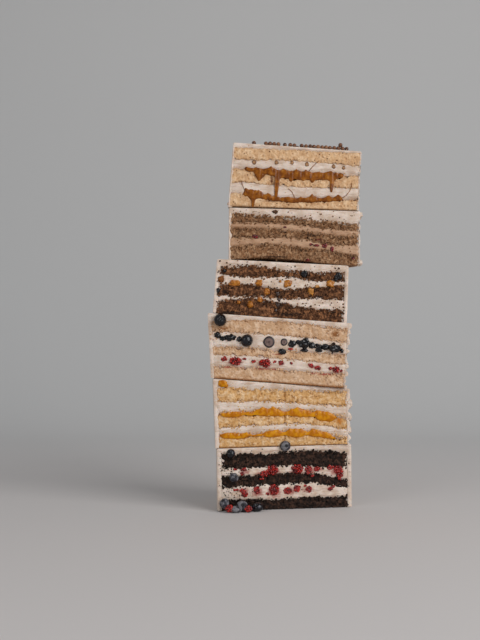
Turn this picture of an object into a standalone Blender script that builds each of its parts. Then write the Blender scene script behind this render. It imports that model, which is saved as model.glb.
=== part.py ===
"""A standing tower of six halved layer cakes, cut faces to the front (-Y), +Z up, in metres.

Each half cake is a half disc: three sponges with cream between them, and a coat of icing
over the top and round the side. Two of the cakes also have a sauce on their sponges, and fruit
shows in the cuts. The cakes lean and sag a little, so every layer has five thicknesses across
the cut. The origin is at the middle of the tower's bounding box, on the surface it stands on.
"""

import math
import random
from collections import namedtuple

import bmesh
import bpy
from mathutils import Matrix, Vector, noise

MM = 0.001

# Air between two pieces that lie on each other, and between a berry and its pocket.
GAP = 0.3 * MM
POCKET_ROOM = 0.4 * MM
# Straight runs that a layer has across its cut.
COLUMNS = 15
# How far the middle of a sponge's cut can stand back, the size of its crags, and how much of
# that depth is even and how much varies.
CRUMB_DEPTH = 1.3 * MM
CRUMB_SIZE = 6 * MM
CRAG_MEAN = 0.6
CRAG_SWING = 0.4
# How far a sauce stands out of the cut, and the least thickness of a layer.
SAUCE_REACH = 2.2 * MM
THINNEST = 1.1 * MM
# The lowest coat ends this far above the surface that the tower stands on.
COAT_CLEARANCE = 0.8 * MM
# How far the shape that hollows out a coat reaches past it.
CUTTER_REACH = 8 * MM
# Uneven waves in every surface between two layers, how many half a cut holds, and the step in
# the noise that keeps one surface unlike the next.
WAVE_HEIGHT = 0.9 * MM
WAVES = 5.2
WAVE_STEP = 7.3
# Rounds in which a point on a leaning side settles, and points closer than this become one.
SETTLING_ROUNDS = 5
WELD = 0.01 * MM

# Height of each bed that a cake rests on, at the tower's axis, and its fall to the right in
# degrees. The last one is the top of the tower.
BEDS = (
    (0, 0), (71.5, -0.87), (142.8, 4.5), (217.4, 4.3), (281.5, 2.5), (342.9, 1.15), (415.0, 3.55),
)

# name: prefix of the cake's pieces. turn: degrees about the tower's axis, right end away.
# foot, head: left and right edge at the cake's bottom and top, from the axis, in mm.
# forward: how far its cut stands in front of the axis, in mm. coat: thickness of the side, in mm.
# arch: lift of its bottom at five places across the cut, in mm.
# layers: from the bottom, each with its kind and its thickness at five places across the cut.
Cake = namedtuple("Cake", "name turn foot head forward coat arch layers")
FLAT = (0, 0, 0, 0, 0)

CAKES = (
    Cake("cocoa", 11, (-77.8, 79.2), (-78.8, 78.8), 0, 6.6, FLAT, (
        ("sponge_low", (12.2, 11.7, 10.9, 11.9, 11.4)),
        ("cream_low", (14.6, 16.9, 18.5, 17.1, 12.1)),
        ("sponge_mid", (11.8, 9.6, 10.4, 9.1, 8.0)),
        ("cream_high", (10.1, 10.7, 10.6, 10.3, 15.7)),
        ("sponge_high", (14.6, 14.7, 13.6, 17.5, 14.7)),
    )),
    Cake("mango", 9, (-80.2, 77.8), (-83.2, 76.4), 0.5, 5.8, FLAT, (
        ("sponge_low", (12.3, 12.1, 11.9, 10.9, 4.8)),
        ("sauce_low", (4.3, 4.0, 6.9, 6.6, 2.1)),
        ("cream_low", (7.1, 9.2, 6.9, 7.7, 10.9)),
        ("sponge_mid", (13.5, 11.0, 9.2, 7.8, 10.6)),
        ("sauce_high", (3.0, 5.7, 6.9, 7.0, 2.1)),
        ("cream_high", (12.2, 11.3, 9.2, 7.6, 14.4)),
        ("sponge_high", (14.7, 13.0, 13.1, 14.3, 15.5)),
    )),
    Cake("vanilla", 3, (-84.8, 71.4), (-88.6, 77.2), 1.5, 5.4, FLAT, (
        ("sponge_low", (13.1, 14.8, 14.8, 14.8, 15.2)),
        ("cream_low", (14.2, 14.8, 14.2, 13.4, 12.8)),
        ("sponge_mid", (8.2, 7.4, 7.6, 9.5, 9.7)),
        ("cream_high", (18.8, 17.7, 19.0, 17.1, 15.4)),
        ("sponge_high", (10.0, 13.8, 14.7, 14.2, 14.0)),
    )),
    Cake("carrot", 4, (-82.9, 71.6), (-77.9, 73.9), 0.6, 5.6, FLAT, (
        ("sponge_low", (13.1, 18.7, 16.2, 12.1, 13.1)),
        ("cream_low", (8.5, 4.0, 6.9, 14.1, 13.8)),
        ("sponge_mid", (10.8, 12.2, 8.8, 10.2, 14.4)),
        ("cream_high", (12.5, 10.1, 15.7, 10.9, 7.5)),
        ("sponge_high", (6.8, 11.8, 6.9, 6.9, 7.9)),
    )),
    Cake("nut", 3, (-64.8, 86.8), (-64.2, 87.6), 0.2, 2.6, (0.3, 3.9, 3.4, 0.6, 0), (
        ("sponge_low", (14.9, 19.1, 17.8, 14.9, 10.0)),
        ("cream_low", (10.3, 9.2, 11.4, 9.1, 15.3)),
        ("sponge_mid", (10.5, 9.2, 6.9, 9.3, 7.5)),
        ("cream_high", (7.2, 7.1, 8.7, 8.6, 9.1)),
        ("sponge_high", (9.7, 7.2, 5.7, 6.7, 4.6)),
    )),
    Cake("caramel", 2, (-65.4, 85.4), (-59.3, 88.8), 1.2, 2.6, (1.6, 1.2, 0.9, 0.6, 0), (
        ("sponge_low", (16.7, 10.8, 7.6, 9.3, 12.9)),
        ("sauce_low", (1.4, 4.6, 5.5, 4.4, 1.7)),
        ("cream_low", (11.5, 13.2, 12.9, 12.1, 12.1)),
        ("sponge_mid", (14.9, 11.1, 8.3, 8.9, 13.8)),
        ("sauce_high", (1.4, 6.4, 9.2, 8.6, 1.5)),
        ("cream_high", (9.5, 9.9, 12.5, 11.2, 10.0)),
        ("sponge_high", (12.6, 12.4, 12.2, 12.4, 14.9)),
    )),
)

# Whole or halved fruit at the cuts. cake: whose cut it lies in. x, z: its middle, from the axis
# and from the bottom, width, height: its size, proud: how far its middle is in front of the
# cut, all in mm. kind: blueberry or raspberry.
Fruit = namedtuple("Fruit", "name kind cake x z width height proud")
FRUIT = (
    Fruit("blueberry_gap", "blueberry", 0, 0.1, 72.2, 12.3, 12.0, 2.2),
    Fruit("blueberry_corner", "blueberry", 0, -61.9, 64.8, 10.4, 10.4, 0.4),
    Fruit("blueberry_ledge", "blueberry", 0, -58.2, 37.9, 10.4, 9.9, 1.0),
    Fruit("raspberry_low_mid", "raspberry", 0, -13.0, 22.4, 14.2, 14.8, -2.4),
    Fruit("raspberry_low_right", "raspberry", 0, 3.1, 21.1, 8.9, 10.8, -2.0),
    Fruit("raspberry_high_left", "raspberry", 0, -15.0, 45.1, 15.9, 13.6, -2.0),
    Fruit("raspberry_high_mid", "raspberry", 0, 14.0, 45.5, 15.0, 12.0, -2.0),
    Fruit("raspberry_high_right", "raspberry", 0, 63.0, 40.3, 11.3, 13.8, -2.2),
    Fruit("blueberry_top", "blueberry", 2, -73.9, 215.5, 14.8, 14.6, 3.4),
    Fruit("blueberry_crushed", "blueberry", 2, -61.9, 195.1, 16.5, 10.8, -2.6),
    Fruit("blueberry_whole", "blueberry", 2, -43.7, 192.1, 14.4, 14.6, 1.0),
    Fruit("blueberry_cut_large", "blueberry", 2, -18.7, 190.4, 14.8, 15.6, -3.6),
    Fruit("blueberry_cut_small", "blueberry", 2, -1.2, 190.3, 9.4, 10.0, -2.4),
    Fruit("blueberry_row_1", "blueberry", 2, 22.6, 187.9, 16.4, 15.8, -1.6),
    Fruit("blueberry_row_2", "blueberry", 2, 39.0, 184.3, 13.6, 10.5, -1.8),
    Fruit("blueberry_row_3", "blueberry", 2, 55.8, 183.4, 17.0, 13.7, -1.0),
    Fruit("raspberry_left", "raspberry", 2, -56.7, 168.9, 17.6, 11.4, -2.4),
    Fruit("raspberry_mid", "raspberry", 2, -23.4, 166.6, 17.1, 12.0, -2.4),
    Fruit("raspberry_right", "raspberry", 2, 58.2, 159.3, 12.0, 10.5, -2.4),
)
# How far a raspberry's points stand out or in as a share of its size, how many lie across it,
# and the distance over which they change from berry to berry.
RASPBERRY_KNOBS = 0.10
KNOBS_ACROSS = 2.6
KNOB_VARIETY = 25 * MM

# Small pieces at the cuts, fused to the layer named: (cake, layer, x, z, width, height), in mm.
BITS = (
    (0, "cream_low", -31.8, 22.9, 6.6, 9.1), (0, "cream_low", 14.0, 23.3, 9.0, 8.0),
    (0, "cream_low", 27.3, 22.3, 7.4, 7.4), (0, "cream_low", 52.2, 21.6, 6.3, 4.4),
    (0, "cream_high", 27.0, 44.3, 8.0, 10.4), (0, "cream_high", -35.2, 42.2, 8.5, 9.1),
    (0, "cream_high", 38.0, 45.0, 8.0, 5.2),
    (1, "icing", -71.2, 143.2, 13.1, 9.5),
    (2, "cream_low", -69.6, 171.2, 7.2, 6.3), (2, "cream_low", -4.6, 166.8, 7.4, 5.5),
    (2, "cream_low", 29.5, 163.7, 6.3, 5.7), (2, "cream_low", 37.6, 160.8, 7.2, 5.0),
    (2, "cream_high", -76.6, 197.0, 6.8, 7.4), (2, "cream_high", 8.6, 188.2, 8.4, 8.6),
    (2, "cream_high", -2.9, 179.6, 8.6, 5.7),
    (3, "cream_high", -57.9, 257.7, 14.2, 7.4), (3, "cream_high", -29.9, 258.0, 8.6, 7.6),
    (3, "cream_high", 3.3, 257.1, 9.7, 9.7), (3, "cream_high", 52.2, 257.3, 10.6, 9.4),
    (3, "cream_high", -73.2, 262.2, 7.6, 8.2), (3, "sponge_high", 21.9, 268.4, 9.2, 8.6),
    (3, "sponge_high", 61.0, 266.0, 10.0, 9.6), (3, "sponge_mid", 29.7, 248.3, 7.4, 9.7),
    (3, "sponge_mid", -20.6, 248.2, 6.9, 8.6), (3, "sponge_low", -39.7, 233.3, 7.4, 8.6),
    (3, "cream_low", -28.6, 239.0, 6.8, 6.8),
    (4, "sponge_mid", -33.7, 311.1, 8.0, 5.1), (4, "cream_low", 45.6, 301.2, 5.7, 5.7),
    (4, "cream_low", 54.2, 297.2, 4.8, 6.7), (4, "cream_low", 36.3, 301.0, 6.9, 4.1),
    (5, "cream_high", -35.3, 396.2, 5.3, 5.3), (5, "cream_high", -9.6, 396.2, 4.9, 5.3),
    (5, "cream_high", 8.3, 395.9, 4.4, 4.8), (5, "cream_high", 25.4, 394.3, 4.8, 5.7),
    (5, "cream_high", 56.2, 391.8, 4.8, 5.7), (5, "cream_high", 67.6, 390.5, 4.1, 5.1),
)
BIT_PROUD = 0.2
BIT_DEPTH = 4.2

# Lumps on the edge of a coat, beside the cut: (cake, x, z, width, height), in mm.
LUMPS = (
    (1, 76.4, 119.0, 5.4, 9.0), (1, 75.6, 104.4, 4.6, 7.6), (4, 87.4, 336.4, 8.5, 8.1),
    (4, 86.2, 280.9, 9.6, 8.0), (5, -62.3, 348.2, 8.0, 7.5),
)
LUMP_SET_BACK = 3.6
LUMP_DEPTH = 8

# Sauce that ran down over the cut: (cake, layer, x, z, width, length), in mm.
DRIPS = (
    (5, "sauce_high", -29.1, 381.0, 8.0, 13.0), (5, "sauce_high", -8.6, 370.6, 5.7, 26.3),
    (5, "sauce_high", 54.2, 371.6, 4.8, 19.5), (5, "sauce_high", 7.0, 375.4, 4.6, 9.4),
    (5, "sauce_high", 31.7, 375.6, 4.6, 9.0), (5, "sauce_low", -36.1, 353.6, 4.2, 12.6),
    (1, "sauce_high", 49.6, 105.0, 17.2, 12.1), (1, "sauce_high", -59.3, 108.2, 17.0, 7.4),
    (1, "sauce_low", -52.5, 84.4, 18.1, 6.2),
)
DRIP_DEPTH = 2.6

# Crisp balls on the top cake: those along its front edge by x in mm, one that lies on two
# others, and how many more lie on the strip behind.
PEARL_ROW = (
    -35.4, -21.6, -16.8, -12.0, -7.2, 0.2, 6.4, 11.2, 19.5, 24.6,
    29.4, 33.8, 38.4, 43.2, 47.6, 52.2, 57.0, 61.9, 66.5, 71.3,
)
PEARL_ON_TWO = 64.2
PEARLS_BEHIND = 6
PEARL_RADIUS = 2.35 * MM
PEARL_SINK = 0.5 * MM
# Sideways step between two balls of the row, and the share of a diameter that two keep apart.
PEARL_STAGGER = 1.1 * MM
PEARL_SPACING = 0.95
# How high the ball on two others lies over them, in diameters.
PEARL_PILE = 0.82
# The strip behind the row: its left and right end, and its depth.
PEARL_STRIP = (-30 * MM, 70 * MM, 24 * MM)
PEARL_KNOBS = 0.05

# Fruit that fell out of the cut and lies heaped against the foot: (x, in front of the cut,
# height above the surface, width, height), in mm.
FALLEN = (
    (-69.0, 5.9, 4.5, 10.6, 11.0), (-63.4, 10.6, 0, 11.0, 9.6), (-55.6, 12.6, 0, 12.4, 7.8),
    (-49.0, 6.9, 0, 12.8, 12.6), (-42.0, 13.0, 0, 9.5, 8.2), (-40.5, 6.2, 0, 8.0, 7.0),
    (-31.5, 8.4, 0, 13.0, 10.2),
)

# Colour and roughness of each kind of piece.
LOOKS = {
    "cocoa_sponge": ((0.030, 0.016, 0.009), 0.9),
    "mango_sponge": ((0.60, 0.38, 0.19), 0.9),
    "vanilla_sponge": ((0.62, 0.43, 0.28), 0.9),
    "carrot_sponge": ((0.16, 0.065, 0.025), 0.9),
    "nut_sponge": ((0.32, 0.18, 0.095), 0.9),
    "caramel_sponge": ((0.58, 0.37, 0.20), 0.9),
    "cream": ((0.80, 0.70, 0.62), 0.5),
    "nut_cream": ((0.62, 0.44, 0.30), 0.5),
    "icing": ((0.80, 0.71, 0.64), 0.45),
    "mango_sauce": ((0.72, 0.32, 0.01), 0.2),
    "caramel_sauce": ((0.42, 0.16, 0.03), 0.2),
    "blueberry": ((0.030, 0.032, 0.055), 0.4),
    "raspberry": ((0.38, 0.02, 0.015), 0.35),
}
# Edges sharper than this stay crisp.
SHARP = math.radians(40)

# A closed ball-like body: its middle, its three sides, its turn about a vertical axis, its
# knobs, how finely it is made, and the object that it belongs to.
Lump = namedtuple("Lump", "centre size turn knobs rings owner", defaults=(0, 0, 1, None))
FINE = 2


def material(name):
    """The material of one kind of piece, made at its first use."""
    found = bpy.data.materials.get(name)
    if found:
        return found
    colour, roughness = LOOKS[name]
    found = bpy.data.materials.new(name)
    found.use_nodes = True
    shader = found.node_tree.nodes["Principled BSDF"]
    shader.inputs["Base Color"].default_value = (*colour, 1)
    shader.inputs["Roughness"].default_value = roughness
    return found


def look_of(cake, layer):
    """The kind of finish that a layer has."""
    if layer.startswith("sponge"):
        return cake.name + "_sponge"
    if layer.startswith("sauce"):
        return cake.name + "_sauce"
    return "nut_cream" if cake.name == "nut" else "cream"


def blend(a, b, share):
    return a + (b - a) * share


def across(values, s):
    """A smooth value at s, from -1 at the cut's left end to 1 at its right, through even steps."""
    place = (s + 1) / 2 * (len(values) - 1)
    start = min(int(place), len(values) - 2)
    share = place - start
    before = values[max(start - 1, 0)]
    first, second = values[start], values[start + 1]
    after = values[min(start + 2, len(values) - 1)]
    slope_in, slope_out = (second - before) / 2, (after - first) / 2
    square, cube = share ** 2, share ** 3
    return (
        (2 * cube - 3 * square + 1) * first + (cube - 2 * square + share) * slope_in
        + (3 * square - 2 * cube) * second + (cube - square) * slope_out
    )


def bed_height(number, x):
    """Height in metres of the bed under cake number, at world x."""
    height, fall = BEDS[number]
    return height * MM - math.tan(math.radians(fall)) * x


def stations():
    """Places across the cut, closer together towards the ends, where the back curves most."""
    even = [2 * i / COLUMNS - 1 for i in range(COLUMNS + 1)]
    curved = [-math.cos(math.pi * i / COLUMNS) for i in range(COLUMNS + 1)]
    return [(a + b) / 2 for a, b in zip(even, curved)]


def plan(cake, rise, s, depth, inset):
    """x and y at a share rise of a cake's height, before it is turned. s runs across the cut,
    and depth from 0 at the cut to 1 at the back of the half disc. inset is how far the side
    stands in from the outside."""
    left = blend(cake.foot[0], cake.head[0], rise) * MM + inset
    right = blend(cake.foot[1], cake.head[1], rise) * MM - inset
    reach = (right - left) / 2
    x = (left + right) / 2 + reach * s
    y = reach * depth * math.sqrt(max(0, 1 - s * s)) - cake.forward * MM
    return x, y


def turned(cake, x, y):
    angle = math.radians(cake.turn)
    return (
        x * math.cos(angle) - y * math.sin(angle),
        x * math.sin(angle) + y * math.cos(angle),
    )


def on_cut(number, x, proud):
    """World y on a cake's cut at world x, proud of it."""
    cake = CAKES[number]
    angle = math.radians(cake.turn)
    return (x * math.sin(angle) - cake.forward * MM - proud) / math.cos(angle)


def lump_on_cut(number, place, size, proud, **more):
    """A lump at a cake's cut. place is its world x and z and size its three sides, in mm, and
    proud is how far its middle stands in front of the cut, in metres."""
    x, z = place[0] * MM, place[1] * MM
    centre = Vector((x, on_cut(number, x, proud), z))
    return Lump(centre, [side * MM for side in size], math.radians(CAKES[number].turn), **more)


def boundary(number, upto):
    """The height at which a cake's layers number upto - 1 and upto meet. 0 is its bottom."""
    cake = CAKES[number]
    under = [thickness for _, thickness in cake.layers[:upto]]

    def height(s, x):
        if not upto:
            return bed_height(number, x) + across(cake.arch, s) * MM
        stack = sum(max(THINNEST, across(thickness, s) * MM) for thickness in under)
        wave = noise.noise(Vector((s * WAVES, upto * WAVE_STEP, number))) * WAVE_HEIGHT
        return bed_height(number, x) + stack + wave

    return height


def place_at(number, height, s, depth, inset, front):
    """The point of a cake at s and depth whose height is given. The sides lean, so where it
    stands depends on how high it is, and a few rounds settle the two."""
    rise = 0.5
    for _ in range(SETTLING_ROUNDS):
        x, y = plan(CAKES[number], rise, s, depth, inset)
        x, y = turned(CAKES[number], x, y - front * (1 - depth))
        z = height(s, x)
        low, high = bed_height(number, x), bed_height(number + 1, x)
        rise = (z - low) / (high - low)
    return Vector((x, y, z))


def crag(point):
    """How far a point in the middle of a sponge's cut stands back."""
    return CRUMB_DEPTH * (CRAG_MEAN + CRAG_SWING * noise.noise(point / CRUMB_SIZE))


def half_disc(number, lower, upper, inset, front=0, craggy=False):
    """A closed half disc between two heights. front is how far its cut stands out."""
    mesh = bmesh.new()
    rings = []
    for s in stations():
        ring = [
            place_at(number, height, s, depth, inset, front)
            for height, depth in ((lower, 0), (upper, 0), (upper, 1), (lower, 1))
        ]
        if craggy:
            middle = (ring[0] + ring[1]) / 2
            middle.y += crag(middle)
            ring.insert(1, ring[0] if abs(s) == 1 else middle)
        rings.append([mesh.verts.new(point) for point in ring])
    for one, two in zip(rings, rings[1:]):
        for i in range(len(one)):
            j = (i + 1) % len(one)
            mesh.faces.new((one[i], one[j], two[j], two[i]))
    mesh.faces.new(rings[0])
    mesh.faces.new(rings[-1])
    bmesh.ops.remove_doubles(mesh, verts=mesh.verts, dist=WELD)
    bmesh.ops.recalc_face_normals(mesh, faces=mesh.faces)
    return mesh


def ball(lump, grow=0.0):
    """The closed ball-like body of a lump, with raised and sunk points as its knobs."""
    mesh = bmesh.new()
    bmesh.ops.create_icosphere(mesh, subdivisions=lump.rings, radius=1)
    for vertex in mesh.verts:
        bump = noise.noise(vertex.co * KNOBS_ACROSS + lump.centre / KNOB_VARIETY) * lump.knobs
        vertex.co = vertex.co * (1 + bump)
    scale = Matrix.Diagonal([side / 2 + grow for side in lump.size]).to_4x4()
    turn = Matrix.Rotation(lump.turn, 4, "Z")
    place = Matrix.Translation(lump.centre) @ turn @ scale
    bmesh.ops.transform(mesh, matrix=place, verts=mesh.verts)
    return mesh


def make_object(name, mesh, look=None):
    """Turns a bmesh into a named object. With no look it is a cutter or a part to be fused."""
    data = bpy.data.meshes.new(name)
    mesh.to_mesh(data)
    mesh.free()
    made = bpy.data.objects.new(name, data)
    bpy.context.scene.collection.objects.link(made)
    if look:
        data.materials.append(material(look))
        data.shade_smooth()
        data.set_sharp_from_angle(angle=SHARP)
    return made


def drop_scraps(data):
    """Keeps the largest of a mesh's loose pieces, which cutting a pocket can leave."""
    mesh = bmesh.new()
    mesh.from_mesh(data)
    waiting = set(mesh.verts)
    pieces = []
    while waiting:
        piece, front = set(), [waiting.pop()]
        while front:
            vertex = front.pop()
            piece.add(vertex)
            for edge in vertex.link_edges:
                other = edge.other_vert(vertex)
                if other in waiting:
                    waiting.remove(other)
                    front.append(other)
        pieces.append(piece)
    pieces.sort(key=len)
    scraps = [vertex for piece in pieces[:-1] for vertex in piece]
    bmesh.ops.delete(mesh, geom=scraps, context="VERTS")
    mesh.to_mesh(data)
    mesh.free()


def combine(host, others, operation):
    """Fuses or cuts host with the other objects in one Boolean, applies it and removes them."""
    if not others:
        return
    group = bpy.data.collections.new(host.name + "_others")
    for other in others:
        group.objects.link(other)
    step = host.modifiers.new("combine", "BOOLEAN")
    step.operand_type = "COLLECTION"
    step.collection = group
    step.operation = operation
    step.solver = "EXACT"
    graph = bpy.context.evaluated_depsgraph_get()
    graph.update()
    result = bpy.data.meshes.new_from_object(host.evaluated_get(graph))
    host.modifiers.remove(step)
    host.data = result
    drop_scraps(result)
    for other in others:
        bpy.data.objects.remove(other)
    bpy.data.collections.remove(group)


def make_layers(number):
    """The sponges, creams and sauces of one cake, each one solid, by name."""
    cake = CAKES[number]
    made = {}
    for index, (layer, _) in enumerate(cake.layers):
        low, high = boundary(number, index), boundary(number, index + 1)
        lift = GAP / 2
        if index == 0:
            lift = GAP if number else 0

        def bottom(s, x, height=low, rise=lift):
            return height(s, x) + rise

        def top(s, x, height=high):
            return height(s, x) - GAP / 2

        shape = half_disc(
            number, bottom, top, cake.coat * MM + GAP,
            front=SAUCE_REACH if layer.startswith("sauce") else 0,
            craggy=layer.startswith("sponge"),
        )
        made[layer] = make_object(f"{cake.name}_{layer}", shape, look_of(cake, layer))
    return made


def make_coat(number):
    """The icing over a cake: a half disc hollowed out for the layers, open at the cut."""
    cake = CAKES[number]
    lift = GAP if number else COAT_CLEARANCE
    ceiling = boundary(number, len(cake.layers))
    outside = half_disc(
        number, lambda s, x: bed_height(number, x) + lift,
        lambda s, x: bed_height(number + 1, x), 0,
    )
    inside = half_disc(
        number, lambda s, x: bed_height(number, x) - CUTTER_REACH,
        lambda s, x: ceiling(s, x) + GAP / 2, cake.coat * MM, front=CUTTER_REACH,
    )
    coat = make_object(f"{cake.name}_icing", outside, "icing")
    combine(coat, [make_object("hollow", inside)], "DIFFERENCE")
    return coat


def add_drips(number, layers):
    """Runs of sauce that hang from a sauce layer in front of the cut."""
    for layer in ("sauce_low", "sauce_high"):
        drops = []
        for cake, source, x, z, width, length in DRIPS:
            if (cake, source) != (number, layer):
                continue
            size, proud = (width, DRIP_DEPTH, length), DRIP_DEPTH * MM / 2 + GAP
            drop = lump_on_cut(number, (x, z), size, proud, rings=FINE)
            drops.append(make_object("drop", ball(drop)))
        if drops:
            combine(layers[layer], drops, "UNION")


def make_fruit():
    """Each whole or halved berry at the cuts, as the lump that it is."""
    lumps = []
    for fruit in FRUIT:
        size = (fruit.width, (fruit.width + fruit.height) / 2, fruit.height)
        knobs = RASPBERRY_KNOBS if fruit.kind == "raspberry" else 0
        place = (fruit.x, fruit.z)
        lump = lump_on_cut(fruit.cake, place, size, fruit.proud * MM, knobs=knobs, rings=FINE)
        made = make_object(fruit.name, ball(lump), fruit.kind)
        lumps.append(lump._replace(owner=made))
    return lumps


def fuse_small(pieces):
    """Fuses the small pieces at the cuts to their layers, and the lumps to the coats."""
    lumps = []
    for number, layer, x, z, width, height in BITS:
        size, host = (width, BIT_DEPTH, height), pieces[number][layer]
        lumps.append(lump_on_cut(number, (x, z), size, BIT_PROUD * MM, owner=host))
    for number, x, z, width, height in LUMPS:
        size, host = (width, LUMP_DEPTH, height), pieces[number]["icing"]
        lumps.append(lump_on_cut(number, (x, z), size, -LUMP_SET_BACK * MM, owner=host))
    for layers in pieces:
        for host in layers.values():
            own = [make_object("small", ball(lump)) for lump in lumps if lump.owner is host]
            combine(host, own, "UNION")
    return lumps


def meets(host, lump):
    """Whether the box round an object meets the box round a lump."""
    corners = [Vector(corner) for corner in host.bound_box]
    for axis in range(3):
        reach = lump.size[axis] / 2 + POCKET_ROOM
        if max(corner[axis] for corner in corners) < lump.centre[axis] - reach:
            return False
        if min(corner[axis] for corner in corners) > lump.centre[axis] + reach:
            return False
    return True


def cut_pockets(hosts, lumps):
    """Cuts from each host the room that nearby lumps of other pieces need."""
    for host in hosts:
        near = [lump for lump in lumps if lump.owner is not host and meets(host, lump)]
        pockets = [make_object("pocket", ball(lump, grow=POCKET_ROOM)) for lump in near]
        combine(host, pockets, "DIFFERENCE")


def add_pearls(coat):
    """Crisp balls along the front of the tower's top, fused to its icing."""
    top, spacing = len(CAKES), 2 * PEARL_RADIUS * PEARL_SPACING
    rest = PEARL_RADIUS - PEARL_SINK
    places = []
    for index, along in enumerate(PEARL_ROW):
        x = along * MM
        y = on_cut(top - 1, x, 0) + PEARL_RADIUS + PEARL_STAGGER * (index % 2)
        places.append((x, y, rest))
    x = PEARL_ON_TWO * MM
    places.append((x, on_cut(top - 1, x, 0) + PEARL_RADIUS, rest + spacing * PEARL_PILE))
    chance = random.Random(11)
    left, right, depth = PEARL_STRIP
    while len(places) < len(PEARL_ROW) + 1 + PEARLS_BEHIND:
        x = blend(left, right, chance.random())
        y = on_cut(top - 1, x, 0) + PEARL_RADIUS + depth * chance.random()
        if all((x - a) ** 2 + (y - b) ** 2 > spacing ** 2 for a, b, _ in places):
            places.append((x, y, rest))
    balls = []
    for x, y, lift in places:
        centre = Vector((x, y, bed_height(top, x) + lift))
        pearl = Lump(centre, [2 * PEARL_RADIUS] * 3, knobs=PEARL_KNOBS)
        balls.append(make_object("pearl", ball(pearl)))
    combine(coat, balls, "UNION")


def make_fallen():
    """The heap of fallen fruit at the foot, fused into one piece that lies on the surface."""
    parts = []
    for x, forward, lift, width, height in FALLEN:
        size, place = (width, (width + height) / 2, height), (x, lift + height / 2)
        berry = lump_on_cut(0, place, size, forward * MM, rings=FINE)
        parts.append(make_object("fallen_part", ball(berry)))
    heap = parts[0]
    heap.name = "fallen_fruit"
    heap.data.materials.append(material("blueberry"))
    combine(heap, parts[1:], "UNION")


def stand_on_origin():
    """Puts the middle of the tower's bounding box, at its lowest height, on the origin."""
    pieces = list(bpy.context.scene.objects)
    points = [vertex.co for made in pieces for vertex in made.data.vertices]
    least = [min(point[axis] for point in points) for axis in range(3)]
    most = [max(point[axis] for point in points) for axis in range(3)]
    tower = bpy.data.objects.new("tower", None)
    tower.location = (-(least[0] + most[0]) / 2, -(least[1] + most[1]) / 2, -least[2])
    bpy.context.scene.collection.objects.link(tower)
    for made in pieces:
        made.parent = tower


def main():
    for found in list(bpy.data.objects):
        bpy.data.objects.remove(found)
    pieces = []
    for number in range(len(CAKES)):
        layers = make_layers(number)
        add_drips(number, layers)
        layers["icing"] = make_coat(number)
        pieces.append(layers)
    lumps = make_fruit() + fuse_small(pieces)
    for layers in pieces:
        cut_pockets(layers.values(), lumps)
    add_pearls(pieces[-1]["icing"])
    make_fallen()
    stand_on_origin()


main()
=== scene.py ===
"""The looks of a standing tower of six halved layer cakes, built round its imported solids.

Sizes are in metres. Those in millimetres are multiplied by MM, or lie in a tuple that is said
to be in mm. The cakes are made from the bottom up, each from its sponges and creams to its coat
of icing, its crumbs, its sauces and its fruit.
"""

import math
import random
from collections import namedtuple

import bpy
import numpy as np
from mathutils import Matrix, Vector, noise
from mathutils.bvhtree import BVHTree


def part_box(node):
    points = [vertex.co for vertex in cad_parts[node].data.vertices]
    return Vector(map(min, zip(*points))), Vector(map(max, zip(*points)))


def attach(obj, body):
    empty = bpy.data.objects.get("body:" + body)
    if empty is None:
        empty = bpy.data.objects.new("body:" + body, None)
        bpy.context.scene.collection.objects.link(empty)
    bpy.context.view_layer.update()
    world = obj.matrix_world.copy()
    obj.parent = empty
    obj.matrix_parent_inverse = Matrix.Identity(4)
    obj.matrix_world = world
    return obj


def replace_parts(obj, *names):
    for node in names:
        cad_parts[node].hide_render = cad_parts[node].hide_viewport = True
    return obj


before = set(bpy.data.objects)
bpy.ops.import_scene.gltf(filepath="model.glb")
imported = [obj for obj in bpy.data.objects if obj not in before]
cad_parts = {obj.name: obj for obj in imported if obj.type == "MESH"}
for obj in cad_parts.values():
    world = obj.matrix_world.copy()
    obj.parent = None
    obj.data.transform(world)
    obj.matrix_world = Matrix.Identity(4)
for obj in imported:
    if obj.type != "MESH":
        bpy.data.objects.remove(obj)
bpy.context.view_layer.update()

MM = 0.001


# The sponges of the bottom cake: a dark cocoa sponge baked in a round tin, sliced flat into
# three, stacked and then cut in half, so that its open crumb shows as torn clods and pores.

# Each half cake: its turn about the tower's axis, its left and right edge at the bottom and at
# the top, how far its cut stands in front of the axis, the thickness of its coat, all in mm,
# and the height and fall of the bed under it and of its own top, in mm and degrees.
Half = namedtuple("Half", "name turn foot head forward coat bed roof")
COCOA = Half("cocoa", 11, (-77.8, 79.2), (-78.8, 78.8), 0, 6.6, (0, 0), (71.5, -0.87))

AXIS = Vector((-1.4, -26.23, 0)) * MM
SPONGES = ("sponge_low", "sponge_mid", "sponge_high")
PLACES_FELT = 90
FELT_TO = 0.9
FELT_BESIDE = 3
BEHIND_FRUIT = 12.5 * MM
CRUMB_STEP = 0.6 * MM
SPONGE_SPARE = 1.0 * MM
THINNEST_COAT = 1.0 * MM
SAME_POINT = 0.001 * MM
RIM_SPILLS = 3.6 * MM
KNIFE_MARK = 1.5


def level(bed, x):
    """Height of a leaning bed at x."""
    return bed[0] * MM - math.tan(math.radians(bed[1])) * (x - AXIS.x)


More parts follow.
